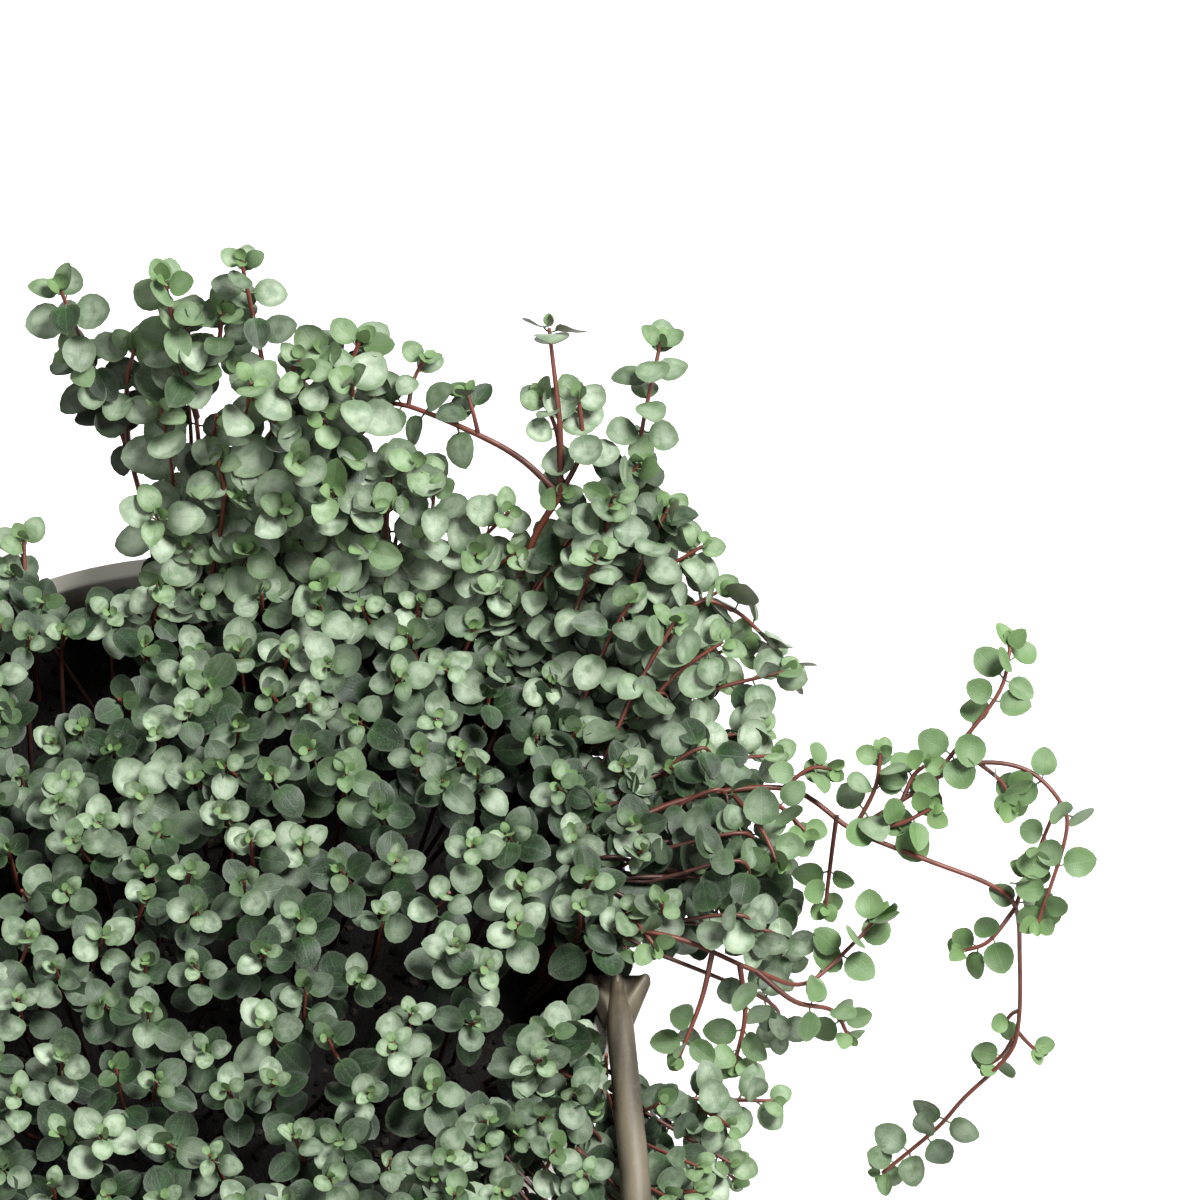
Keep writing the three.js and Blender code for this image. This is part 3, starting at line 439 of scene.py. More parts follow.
@dataclass(frozen=True)
class PlasticFinish(Finish):
    """Moulded plastic with cloudy tone, fine grain, pale specks, paler marks of wear and of painted light, and painted
    shade in hollows.
    """

    body: tuple = srgb(178, 176, 163)
    shade: tuple = srgb(158, 154, 141)
    worn: tuple = srgb(198, 195, 184)
    roughness: float = 0.5
    cloud: float = 45.0
    edge: float = 0.0
    speck: float = 0.35
    stretch: float = 1.0

    def build(self) -> Material:
        """Makes the material; edge is how far the piece's own attribute of wear and painted light makes it paler.

        Returns:
            The material.
        """
        wiring, shader, material = self.begin()
        cloud = self.clouded(wiring, Scale=self.cloud, Low=0.3, High=0.72, Stretch=self.stretch)
        grain = self.grained(wiring, Scale=2200.0, Speck=0.62)
        colour = wiring.mix(cloud, self.body, self.shade)
        # Painted shade: hollows are darkened towards the shade colour.
        colour = wiring.mix(wiring.named("hollow"), colour, self.shade)
        specks = wiring.times(grain["Specks"], self.speck)
        colour = wiring.mix(specks, colour, self.worn)
        # Paler where worn, and on the hanger a painted highlight on the ribs and painted light along the rod.
        wear_and_light_share = wiring.times(wiring.named("worn"), self.edge)
        rough = wiring.math("MULTIPLY_ADD", cloud, 0.14, self.roughness)
        wiring.feed(shader, {"Base Color": wiring.mix(wear_and_light_share, colour, self.worn), "Roughness": rough})
        self.bump(wiring, shader, grain["Height"], 0.00006, 0.5)
        return material


@dataclass(frozen=True)
class SoilFinish(Finish):
    """Moist potting mix: near-black, with brown fibres and pale grit."""

    dark: tuple = srgb(5, 4, 3)
    brown: tuple = srgb(17, 12, 8)
    grit: tuple = srgb(52, 46, 38)

    def build(self) -> Material:
        """Makes the material.

        Returns:
            The material.
        """
        wiring, shader, material = self.begin()
        cloud = self.clouded(wiring, Scale=240.0, Low=0.4, High=0.75)
        grain = self.grained(wiring, Scale=1400.0, Speck=0.66)
        colour = wiring.mix(cloud, self.dark, self.brown)
        pale = wiring.times(wiring.named("grit"), 0.9)
        colour = wiring.mix(wiring.math("MAXIMUM", pale, wiring.times(grain["Specks"], 0.2)),
                            colour, self.grit)
        rough = wiring.math("MULTIPLY_ADD", cloud, 0.2, 0.75)
        wiring.feed(shader, {"Base Color": colour, "Roughness": rough, "Specular IOR Level": 0.2})
        self.bump(wiring, shader, grain["Height"], 0.0006, 0.8)
        return material


@dataclass(frozen=True)
class FloorFinish(Finish):
    """A plain pale floor."""

    tone: tuple = srgb(246, 246, 246)
    shade: tuple = srgb(236, 236, 236)

    def build(self) -> Material:
        """Makes the material.

        Returns:
            The material.
        """
        wiring, shader, material = self.begin()
        faint = wiring.times(self.clouded(wiring, Scale=3.0), 0.02)
        wiring.feed(shader, {"Base Color": wiring.mix(faint, self.tone, self.shade), "Roughness": 0.85})
        return material


# --- geometry trees


class GrowthTree:
    """A geometry tree with named inputs, whose result on a piece is kept as a plain mesh."""

    def __init__(self, name: str, sockets: dict[str, str]) -> None:
        """Makes the empty tree.

        Args:
            name: The tree's name.
            sockets: Its inputs after the geometry, as name and socket type.
        """
        self.tree = bpy.data.node_groups.new(name, "GeometryNodeTree")
        face = self.tree.interface
        face.new_socket(name="Geometry", in_out="INPUT", socket_type="NodeSocketGeometry")
        for label, kind in sockets.items():
            face.new_socket(name=label, in_out="INPUT", socket_type=f"NodeSocket{kind}")
        face.new_socket(name="Geometry", in_out="OUTPUT", socket_type="NodeSocketGeometry")
        self.wiring = Wiring(self.tree)
        self.given = self.wiring.add("NodeGroupInput").outputs

    def close(self, geometry: NodeSocket) -> None:
        """Ends the tree: instances are made real before the result."""
        real = self.wiring.add("GeometryNodeRealizeInstances", {"Geometry": geometry})
        self.wiring.add("NodeGroupOutput", {0: real.outputs[0]})

    def field(self, name: str, kind: str = "FLOAT") -> NodeSocket:
        """Reads a named attribute of the geometry."""
        return self.wiring.add("GeometryNodeInputNamedAttribute", {"Name": name}, data_type=kind).outputs[0]

    def members(self, name: str) -> NodeSocket:
        """The single members of a collection given as an input, each at its own origin."""
        inputs = {"Collection": self.given[name], "Separate Children": True, "Reset Children": True}
        return self.wiring.add("GeometryNodeCollectionInfo", inputs).outputs[0]

    def chance(self, kind: str, low: object, high: object) -> NodeSocket:
        """A random value for each point, from the tree's own seed.

        Args:
            kind: FLOAT for a number, FLOAT_VECTOR for a vector.
            low: The lower bound.
            high: The upper bound.

        Returns:
            The value.
        """
        first, second, result = (0, 1, 0) if kind == "FLOAT_VECTOR" else (2, 3, 1)
        inputs = {first: low, second: high, "Seed": self.given["Seed"]}
        return self.wiring.add("FunctionNodeRandomValue", inputs, data_type=kind).outputs[result]

    def turning(self, angles: NodeSocket) -> NodeSocket:
        """A rotation by three angles."""
        return self.wiring.add("FunctionNodeEulerToRotation", {0: angles}).outputs[0]

    def apply(self, source: Object, name: str, values: dict[str, object]) -> Object:
        """Runs the tree on an object and keeps the result as a new plain mesh object.

        Args:
            source: The object that the tree starts from; it is removed.
            name: The new object's name.
            values: The tree's named inputs.

        Returns:
            The finished object, at the origin.
        """
        sockets = {item.name: item.identifier for item in self.tree.interface.items_tree if item.in_out == "INPUT"}
        modifier = source.modifiers.new("growth", "NODES")
        modifier.node_group = self.tree
        for label, value in values.items():
            modifier[sockets[label]] = value
        source.update_tag()
        bpy.context.view_layer.update()
        mesh = worked_out(source)
        bpy.data.objects.remove(source)
        mesh.name = name
        piece = bpy.data.objects.new(name, mesh)
        bpy.context.scene.collection.objects.link(piece)
        return piece


def make_leafy_tree() -> GrowthTree:
    """Builds the tree that sweeps stems along their paths and sets a leaf on each leaf point.

    Returns:
        The tree.
    """
    growth = GrowthTree("leafy_stems", {"Leaf kinds": "Collection", "Leaf finish": "Material",
                                        "Stem finish": "Material", "Stem sides": "Int",
                                        "Length spread": "Float", "Tilt spread": "Float", "Seed": "Int"})
    wiring, given = growth.wiring, growth.given
    is_leaf = growth.field("is_leaf", "BOOLEAN")
    points = wiring.add("GeometryNodeMeshToPoints", {"Mesh": given["Geometry"], "Selection": is_leaf})
    most = wiring.add("ShaderNodeCombineXYZ", {axis: given["Tilt spread"] for axis in range(3)}).outputs[0]
    least = wiring.add("ShaderNodeVectorMath", {0: most, "Scale": -1.0}, operation="SCALE").outputs[0]
    turned = wiring.add("FunctionNodeRotateRotation", {
        0: growth.turning(growth.field("turn", "FLOAT_VECTOR")),
        1: growth.turning(growth.chance("FLOAT_VECTOR", least, most))}, rotation_space="LOCAL")
    low, high = (wiring.math(way, 1.0, given["Length spread"]) for way in ("SUBTRACT", "ADD"))
    scale = wiring.times(growth.field("length"), growth.chance("FLOAT", low, high))
    leaves = wiring.add("GeometryNodeInstanceOnPoints", {
        "Points": points.outputs[0], "Instance": growth.members("Leaf kinds"), "Pick Instance": True,
        "Instance Index": growth.field("kind", "INT"), "Rotation": turned.outputs[0], "Scale": scale})
    dressed = wiring.add("GeometryNodeSetMaterial", {"Geometry": leaves.outputs[0], "Material": given["Leaf finish"]})
    is_stem = wiring.add("FunctionNodeBooleanMath", {0: is_leaf}, operation="NOT").outputs[0]
    paths = wiring.add("GeometryNodeMeshToCurve", {"Mesh": given["Geometry"], "Selection": is_stem})
    ring = wiring.add("GeometryNodeCurvePrimitiveCircle", {"Resolution": given["Stem sides"], "Radius": 1.0})
    tubes = wiring.add("GeometryNodeCurveToMesh", {"Curve": paths.outputs[0], "Profile Curve": ring.outputs[0],
                                                   "Scale": growth.field("girth"), "Fill Caps": True})
    smooth = wiring.add("GeometryNodeSetShadeSmooth", {"Geometry": tubes.outputs[0]})
    stems = wiring.add("GeometryNodeSetMaterial", {"Geometry": smooth.outputs[0], "Material": given["Stem finish"]})
    both = wiring.add("GeometryNodeJoinGeometry")
    for part in (dressed, stems):
        wiring.tree.links.new(part.outputs[0], both.inputs[0])
    growth.close(both.outputs[0])
    return growth


def make_scatter_tree() -> GrowthTree:
    """Builds the tree that strews crumbs and grit over the soil's upper side.

    Returns:
        The tree.
    """
    growth = GrowthTree("strewn_crumbs", {"Lumps": "Collection", "Density": "Float", "Smallest": "Float",
                                          "Largest": "Float", "Seed": "Int", "Finish": "Material"})
    wiring, given = growth.wiring, growth.given
    spots = wiring.add("GeometryNodeDistributePointsOnFaces", {
        "Mesh": given["Geometry"], "Selection": growth.field("open_soil", "BOOLEAN"),
        "Density": given["Density"], "Seed": given["Seed"]})
    turn = growth.turning(growth.chance("FLOAT_VECTOR", (0, 0, 0), (math.tau, math.tau, math.tau)))
    crumbs = wiring.add("GeometryNodeInstanceOnPoints", {
        "Points": spots.outputs[0], "Instance": growth.members("Lumps"), "Pick Instance": True, "Rotation": turn,
        "Scale": growth.chance("FLOAT", given["Smallest"], given["Largest"])})
    both = wiring.add("GeometryNodeJoinGeometry")
    for part in (crumbs.outputs[0], given["Geometry"]):
        wiring.tree.links.new(part, both.inputs[0])
    growth.close(wiring.add("GeometryNodeSetMaterial", {"Geometry": both.outputs[0],
                                                        "Material": given["Finish"]}).outputs[0])
    return growth


# --- leaves


class LeafKind(Enum):
    """The ways a leaf is bent: cup, fold along the midrib, droop of the tip, twist, wave, and half its width."""

    FLAT = (0.22, 0.06, 0.10, 0.0, 0.01, 0.47)
    CUPPED = (0.62, 0.05, 0.02, 0.0, 0.01, 0.50)
    DOMED = (-0.34, 0.10, 0.20, 0.0, 0.015, 0.45)
    FOLDED = (0.20, 0.34, 0.12, 0.0, 0.01, 0.42)
    TWISTED = (0.26, 0.10, 0.12, 0.45, 0.015, 0.46)
    WAVED = (0.34, 0.06, 0.14, -0.25, 0.045, 0.48)


@dataclass(frozen=True)
class LeafShape:
    """One leaf, 1 m long without its stalk, which stands for a leaf of any length once scaled."""

    spokes: int = 14
    ring: float = 0.62
    thickness: float = 0.032
    stalk: float = 0.18
    stalk_radius: float = 0.034
    stalk_sides: int = 4

    def height(self, kind: LeafKind, x: float, y: float) -> float:
        """How far a point of the blade lies above the plane through its stalk.

        Args:
            kind: How the leaf is bent.
            x: How far the point is from the midrib.
            y: How far it is from the foot of the blade.

        Returns:
            The height, for a blade 1 m long.
        """
        cup, fold, droop, twist, wave, _ = kind.value
        out = x * x + (y - 0.5) ** 2
        lift = cup * out + fold * abs(x) - droop * max(0.0, y - 0.45) ** 2 * 2 + twist * x * (y - 0.5)
        return lift + wave * math.sin(3 * math.atan2(x, y - 0.5) + 1.0) * out * 4

    def outline(self, kind: LeafKind, turn: float, reach: float) -> tuple[float, float]:
        """A point of the blade's plan, by direction from its middle and share of the way to its edge.

        Args:
            kind: How the leaf is bent.
            turn: The direction from the middle, from the foot round.
            reach: The share of the way to the edge.

        Returns:
            The point's x and y.
        """
        tip = max(0.0, -math.cos(turn)) ** 8 * 0.05
        x = kind.value[-1] * math.sin(turn) * (1 + 0.08 * math.cos(turn)) * reach
        y = 0.5 - (0.5 + tip) * math.cos(turn) * reach
        return x, y

    def build(self, kind: LeafKind, collection: Collection) -> None:
        """Makes the leaf of one kind and puts it in the collection of kinds.

        Args:
            kind: How the leaf is bent.
            collection: The collection that gets the leaf.
        """
        mesh = bmesh.new()
        uv = mesh.loops.layers.uv.new("leaf")
        below = mesh.faces.layers.float.new("underside")
        rim = mesh.verts.layers.float.new("rim")
        plan: dict[BMVert, tuple[float, float]] = {}

        def vertex(x: float, y: float, reach: float, side: float) -> BMVert:
            """Adds a point of the upper or the lower side.

            Args:
                x: Its place across the blade.
                y: Its place along the blade.
                reach: The share of the way to the edge.
                side: 1 for the upper side, -1 for the lower one, 0 for the edge.

            Returns:
                The point.
            """
            z = self.height(kind, x, y) + side * self.thickness / 2 * (1 - reach ** 2)
            made = mesh.verts.new((x, y + self.stalk, z))
            made[rim] = reach
            plan[made] = (x + 0.5, y)
            return made

        turns = [math.tau * i / self.spokes for i in range(self.spokes)]
        edge = [vertex(*self.outline(kind, turn, 1.0), 1.0, 0.0) for turn in turns]
        for side in (1.0, -1.0):
            middle = vertex(0.0, 0.5, 0.0, side)
            ring = [vertex(*self.outline(kind, turn, self.ring), self.ring, side) for turn in turns]
            for i in range(self.spokes):
                after = (i + 1) % self.spokes
                for corners in ((middle, ring[i], ring[after]), (ring[i], edge[i], edge[after], ring[after])):
                    face = mesh.faces.new(corners if side > 0 else tuple(reversed(corners)))
                    face[below] = float(side < 0)
        for line in mesh.edges:
            line.smooth = not (line.verts[0] in edge and line.verts[1] in edge)
        self.add_stalk(mesh, kind, plan, rim)
        for face in mesh.faces:
            face.smooth = True
            for loop in face.loops:
                loop[uv].uv = plan[loop.vert]
        finished(mesh, f"leaf_{kind.name.lower()}", collection)

    def add_stalk(self, mesh: BMesh, kind: LeafKind, plan: dict, rim: object) -> None:
        """Adds the leaf's stalk, from the stem to a little way under the blade.

        Args:
            mesh: The leaf's mesh.
            kind: How the leaf is bent.
            plan: The points' places on the leaf's map; the stalk's are added.
            rim: The layer that says how near a point is to the edge.
        """
        ends = [(0.0, -0.02), (self.stalk * 0.5, -0.03), (self.stalk + 0.08, self.height(kind, 0.0, 0.08))]
        girth, turns = self.stalk_radius, [math.tau * (i + 0.5) / self.stalk_sides for i in range(self.stalk_sides)]
        rings = []
        for y, z in ends:
            ring = [mesh.verts.new((girth * math.cos(turn), y, z + girth * math.sin(turn))) for turn in turns]
            for made in ring:
                made[rim] = 1.0
                plan[made] = (0.5, -0.1)
            rings.append(ring)
        skin(mesh, rings)
        mesh.faces.new(rings[0])
        mesh.faces.new(reversed(rings[-1]))


@dataclass
class LeafPlace:
    """Where one leaf stands: its root, its direction, its upper face, its length and its looks."""

    root: Vector
    along: Vector
    facing: Vector
    length: float
    age: float
    tone: float
    bloom: float
    kind: int

    @property
    def middle(self) -> Vector:
        """The middle of the blade."""
        return self.root + self.along * self.length * 0.8


class StemPath:
    """A smooth line through given points, measured along its length."""

    STEPS = 7

    def __init__(self, points: list[Vector]) -> None:
        """Draws the line through its points.

        Args:
            points: The points, in metres, from root to tip.
        """
        ends = [points[0] * 2 - points[1], *points, points[-1] * 2 - points[-2]]
        self.points = [points[0].copy()]
        for before, start, end, after in zip(ends, ends[1:], ends[2:], ends[3:]):
            for step in range(1, self.STEPS + 1):
                share = step / self.STEPS
                self.points.append(self.between(before, start, end, after, share))
        self.reach = [0.0]
        for low, high in zip(self.points, self.points[1:]):
            self.reach.append(self.reach[-1] + (high - low).length)

    @staticmethod
    def between(before: Vector, start: Vector, end: Vector, after: Vector, share: float) -> Vector:
        """A point between start and end on the curve that also minds its neighbours.

        Args:
            before: The point before start.
            start: Where the stretch starts.
            end: Where it ends.
            after: The point after end.
            share: The share of the stretch.

        Returns:
            The point.
        """
        square, cube = share * share, share ** 3
        return 0.5 * (start * 2 + (end - before) * share + (before * 2 - start * 5 + end * 4 - after) * square
                      + (start * 3 - before - end * 3 + after) * cube)

    @property
    def length(self) -> float:
        """The whole length."""
        return self.reach[-1]

    def at(self, distance: float) -> tuple[Vector, Vector]:
        """The point at a distance from the root, and the way the stem runs there.

        Args:
            distance: The distance, in metres.

        Returns:
            The point and the direction.
        """
        for index in range(1, len(self.points)):
            if distance <= self.reach[index] or index == len(self.points) - 1:
                span = self.reach[index] - self.reach[index - 1]
                share = min(1.0, (distance - self.reach[index - 1]) / max(span, 1e-9))
                low, high = self.points[index - 1], self.points[index]
                return low.lerp(high, share), (high - low).normalized()


@dataclass(frozen=True)
class PairHabit:
    """How leaf pairs stand from the tip down: sizes, gaps and rises of the first pairs, then of the rest.

    Depth shade is how much darker a leaf's tone is painted for each millimetre under the tip, down to the deepest:
    painted shade for leaves deep in the foliage. Aging is how much older each pair is than the one above it; old
    pairs are painted darker too. The spreads are those of random differences.
    """

    sizes: tuple = (0.4, 0.7, 0.92, 1.0)
    gaps: tuple = (1.0, 2.2, 3.4, 4.4)
    depth_shade: float = 0.0
    aging: float = 0.15
    bloom: float = 0.9
    tone: float = 0.62
    rises: tuple = (60, 42, 26, 15, 7, 0, -8)
    upward: float = 0.5
    flatten: float = 0.6
    jitter: float = 13.0
    rise_jitter: float = 0.5
    sway_jitter: float = 0.6
    axisward: float = 0.45
    turn_spread: float = 0.12
    spray_spread: float = 0.15
    leaf_spread: float = 0.18
    deepest: float = 12.0
    size_range: tuple = (0.88, 1.1)
    gap_range: tuple = (0.8, 1.2)

    def pick(self, values: tuple, rank: int) -> float:
        """The value for a pair, the last one holding for all lower pairs."""
        return values[min(rank, len(values) - 1)]


class Greenery:
    """The stems and leaves of one piece, gathered before they are grown into one mesh."""

    def __init__(self, name: str, seed: int) -> None:
        """Makes the piece without stems or leaves.

        Args:
            name: The piece's name.
            seed: The seed of its small differences.
        """
        self.name = name
        self.seed = seed
        self.random = random.Random(seed)
        self.leaves: list[LeafPlace] = []
        self.stems: list[tuple[list[Vector], list[float], list[float]]] = []

    def stem(self, path: StemPath, thick: float, thin: float, oldest: float, youngest: float = 0.3) -> None:
        """Adds a stem that gets thinner and younger towards its tip.

        Args:
            path: The middle line.
            thick: The radius at the root, in metres.
            thin: The radius at the tip, in metres.
            oldest: The age at the root.
            youngest: The age at the tip.
        """
        shares = [reach / path.length for reach in path.reach]
        girths = [blend(thick, thin, share) for share in shares]
        ages = [blend(oldest, youngest, share ** 2) for share in shares]
        self.stems.append((path.points, girths, ages))

    def pairs(self, path: StemPath, leaf: float, gap: float, bare: float, habit: PairHabit,
              light: Vector = LIGHTWARD) -> None:
        """Adds leaf pairs from the tip of a stem down, each a quarter turn from the last.

        Args:
            path: The stem.
            leaf: The length of a full-grown leaf, in metres.
            gap: The distance between full-grown pairs, in metres.
            bare: The length at the stem's root that has no leaves, in metres.
            habit: How the pairs stand.
            light: The direction that the leaves turn their faces to.
        """
        rand = self.random
        distance, rank, turn = path.length, 0, rand.uniform(0, math.tau)
        spray_tone = rand.gauss(habit.tone, habit.spray_spread)
        bloom = limited(rand.gauss(habit.bloom, habit.spray_spread))
        while distance > bare:
            point, axis = path.at(distance)
            axis = (axis + light * habit.upward).normalized()
            across = axis.orthogonal().normalized()
            rise = math.radians(habit.pick(habit.rises, rank) + rand.gauss(0, habit.jitter * habit.rise_jitter))
            facing = (axis * habit.axisward + light).normalized()
            for side in (0, 1):
                sway = math.radians(rand.gauss(0, habit.jitter * habit.sway_jitter))
                out = Matrix.Rotation(turn + side * math.pi + sway, 3, axis) @ across
                along = out * math.cos(rise) + axis * math.sin(rise)
                flat = max(0.0, math.cos(rise) ** 2) * habit.flatten
                along = (along - facing * along.dot(facing) * flat).normalized()
                size = leaf * habit.pick(habit.sizes, rank) * rand.uniform(*habit.size_range)
                # Painted shade: the deeper a leaf lies under its tip, the lower its tone.
                depth = min(habit.deepest, (path.length - distance) / MM) * habit.depth_shade
                tone = limited(spray_tone - depth + rand.gauss(0, habit.leaf_spread))
                kind = rand.randrange(len(LeafKind))
                self.leaves.append(LeafPlace(point, along, facing, size, rank * habit.aging, tone, bloom, kind))
            if rank < len(habit.gaps):
                distance -= habit.gaps[rank] * MM
            else:
                distance -= gap * rand.uniform(*habit.gap_range)
            turn += math.pi / 2 + rand.gauss(0, habit.turn_spread)
            rank += 1

    def source(self) -> Object:
        """The stems' lines and the leaves' roots as one bare mesh with attributes.

        Returns:
            The bare mesh object.
        """
        self.leaves = [leaf for leaf in self.leaves if not closes_a_glimpse(leaf.middle, GLIMPSES + THIN_SPOTS)]
        points, edges, girth, ages = [], [], [], []
        for line, girths, stem_ages in self.stems:
            edges += [(len(points) + i, len(points) + i + 1) for i in range(len(line) - 1)]
            points += line
            girth += girths
            ages += stem_ages
        stems = len(points)
        mesh = bpy.data.meshes.new(self.name)
        mesh.from_pydata([*points, *(leaf.root for leaf in self.leaves)], edges, [])
        turns = []
        for leaf in self.leaves:
            z = (leaf.facing - leaf.along * leaf.facing.dot(leaf.along)).normalized()
            turns += Matrix((leaf.along.cross(z), leaf.along, z)).transposed().to_euler()
        none = [0.0] * stems
        self.attribute(mesh, "is_leaf", "BOOLEAN", [False] * stems + [True] * len(self.leaves))
        self.attribute(mesh, "kind", "INT", [0] * stems + [leaf.kind for leaf in self.leaves])
        self.attribute(mesh, "girth", "FLOAT", girth + [0.0] * len(self.leaves))
        for name, along_stems in (("age", ages), ("tone", none), ("bloom", none), ("length", none)):
            self.attribute(mesh, name, "FLOAT", along_stems + [getattr(leaf, name) for leaf in self.leaves])
        self.attribute(mesh, "turn", "FLOAT_VECTOR", none * 3 + turns)
        made = bpy.data.objects.new(self.name + "_lines", mesh)
        bpy.context.scene.collection.objects.link(made)
        return made

    @staticmethod
    def attribute(mesh: Mesh, name: str, kind: str, values: list) -> None:
        """Writes one value, or one vector, for each point of a mesh."""
        layer = mesh.attributes.new(name, kind, "POINT")
        layer.data.foreach_set("vector" if kind == "FLOAT_VECTOR" else "value", values)


# --- pot, soil and hanger


def lathe(name: str, profile: list[tuple[float, float]], facets: int) -> Object:
    """Turns a profile that starts and ends on the axis round it.

    Args:
        name: The new object's name.
        profile: Radius and height of each point, in millimetres, from the underside's middle outwards and up.
        facets: How many sides the round has.

    Returns:
        The closed solid.
    """
    mesh = bmesh.new()
    rings = []
    for radius, height in profile:
        count = 1 if radius == 0 else facets
        rings.append([mesh.verts.new(polar(radius, math.tau * i / facets, height) * MM) for i in range(count)])
    for low, high in zip(rings, rings[1:]):
        for i in range(facets):
            after = (i + 1) % facets
            corners = [low[i % len(low)], low[after % len(low)], high[after % len(high)], high[i % len(high)]]
            mesh.faces.new(list(dict.fromkeys(corners)))
    bmesh.ops.recalc_face_normals(mesh, faces=mesh.faces)
    made = finished(mesh, name)
    made.data.shade_smooth()
    return made


def rounded(profile: list[tuple[float, float]], corners: dict[int, float], steps: int = 5) -> list[tuple[float, float]]:
    """Rounds some corners of a profile.

    Args:
        profile: The points.
        corners: The radius of the round at each corner to be rounded, by its place in the profile.
        steps: How many points a round has.

    Returns:
        The new points.
    """
    result = []
    for index, point in enumerate(profile):
        if index not in corners:
            result.append(point)
            continue
        here = Vector(point)
        start = here + (Vector(profile[index - 1]) - here).normalized() * corners[index]
        end = here + (Vector(profile[index + 1]) - here).normalized() * corners[index]
        for step in range(steps):
            share = step / (steps - 1)
            spot = start.lerp(here, share).lerp(here.lerp(end, share), share)
            result.append((spot.x, spot.y))
    return result


def settle(piece: Object, slot: str, *nodes: str) -> Object:
    """Makes a piece ride with the pot, hides the solids that it stands for and logs them with its triangles.

    Args:
        piece: The finished piece.
        slot: Not used.
        nodes: The solids that it stands for.

    Returns:
        The piece.
    """
    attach(piece, "root")
    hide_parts(*nodes)
    faces = sum(len(face.vertices) - 2 for face in piece.data.polygons)
    log.info("%s: %d triangles, stands for %s", piece.name, faces, ", ".join(nodes))
    return piece


@dataclass
class Pot:
    """The round plastic pot, in millimetres."""

    height: float = 118.0
    rim_radius: float = 80.0
    lip_height: float = 10.0
    lip_step: float = 1.8
    base_radius: float = 58.0
    wall: float = 2.0
    floor: float = 2.4
    foot: float = 1.2
    drain_holes: int = 4
    drain_radius: float = 4.0
    drain_circle: float = 40.0
    drain_turn: float = 0.07
    drain_sides: int = 24
    worn_top: float = 1.5
    worn_side: float = 2.5
    worn_in: float = 0.8
    facets: int = 144

    def inside(self, height: float) -> float:
        """The inside radius of the wall at a height above the underside.

        Args:
            height: The height, in millimetres.

        Returns:
            The radius, in millimetres.
        """
        top = self.rim_radius - self.lip_step - self.wall
        bottom = self.base_radius - self.wall
        return bottom + (top - bottom) * (height - self.floor) / (self.height - self.lip_height - self.floor)

    def profile(self) -> list[tuple[float, float]]:
        """The wall's section, from the middle of the underside round to the middle of the floor.

        Returns:
            Radius and height of each point, in millimetres.
        """
        under = self.height - self.lip_height
        taper = (self.rim_radius - self.lip_step - self.base_radius) / under
        points = [
            (0, self.foot), (self.base_radius - 6, self.foot), (self.base_radius - 5, 0), (self.base_radius, 0),
            (self.base_radius + taper * 8, 8), (self.base_radius + taper * 8 + 0.5, 9),
            (self.rim_radius - self.lip_step, under), (self.rim_radius, under), (self.rim_radius, self.height),
            (self.inside(under), self.height), (self.inside(under), under),
            (self.inside(self.floor + 0.2), self.floor + 0.2), (0, self.floor + 0.2),
        ]
        return rounded(points, {2: 0.4, 3: 1.2, 7: 0.7, 8: 1.1, 9: 0.8, 11: 0.3})

    def build(self, finish: Material) -> Object:
        """Makes the pot with its drain holes and dresses it.

        Args:
            finish: Its material.

        Returns:
            The pot.
        """
        piece = lathe("pot_shell", self.profile(), self.facets)
        for index in range(self.drain_holes):
            spot = polar(self.drain_circle, math.tau * index / self.drain_holes) * MM
            bpy.ops.mesh.primitive_cylinder_add(vertices=self.drain_sides, radius=self.drain_radius * MM, depth=20 * MM,
                                                location=spot, rotation=(0, 0, self.drain_turn))
            drill = bpy.context.object
            cut = piece.modifiers.new("drain", "BOOLEAN")
            cut.object, cut.operation, cut.solver = drill, "DIFFERENCE", "EXACT"
            mesh = worked_out(piece)
            piece.modifiers.clear()
            piece.data = mesh
            bpy.data.objects.remove(drill)
        worn = []
        for vertex in piece.data.vertices:
            radius, height = math.hypot(vertex.co.x, vertex.co.y) / MM, vertex.co.z / MM
            on_side = radius > self.rim_radius - self.worn_in and height > self.height - self.worn_side
            worn.append(1.0 if on_side or height > self.height - self.worn_top else 0.0)
        Greenery.attribute(piece.data, "worn", "FLOAT", worn)
        piece.data.set_sharp_from_angle(angle=math.radians(38))
        piece.data.materials.clear()
        piece.data.materials.append(finish)
        return settle(piece, "pot", "pot")


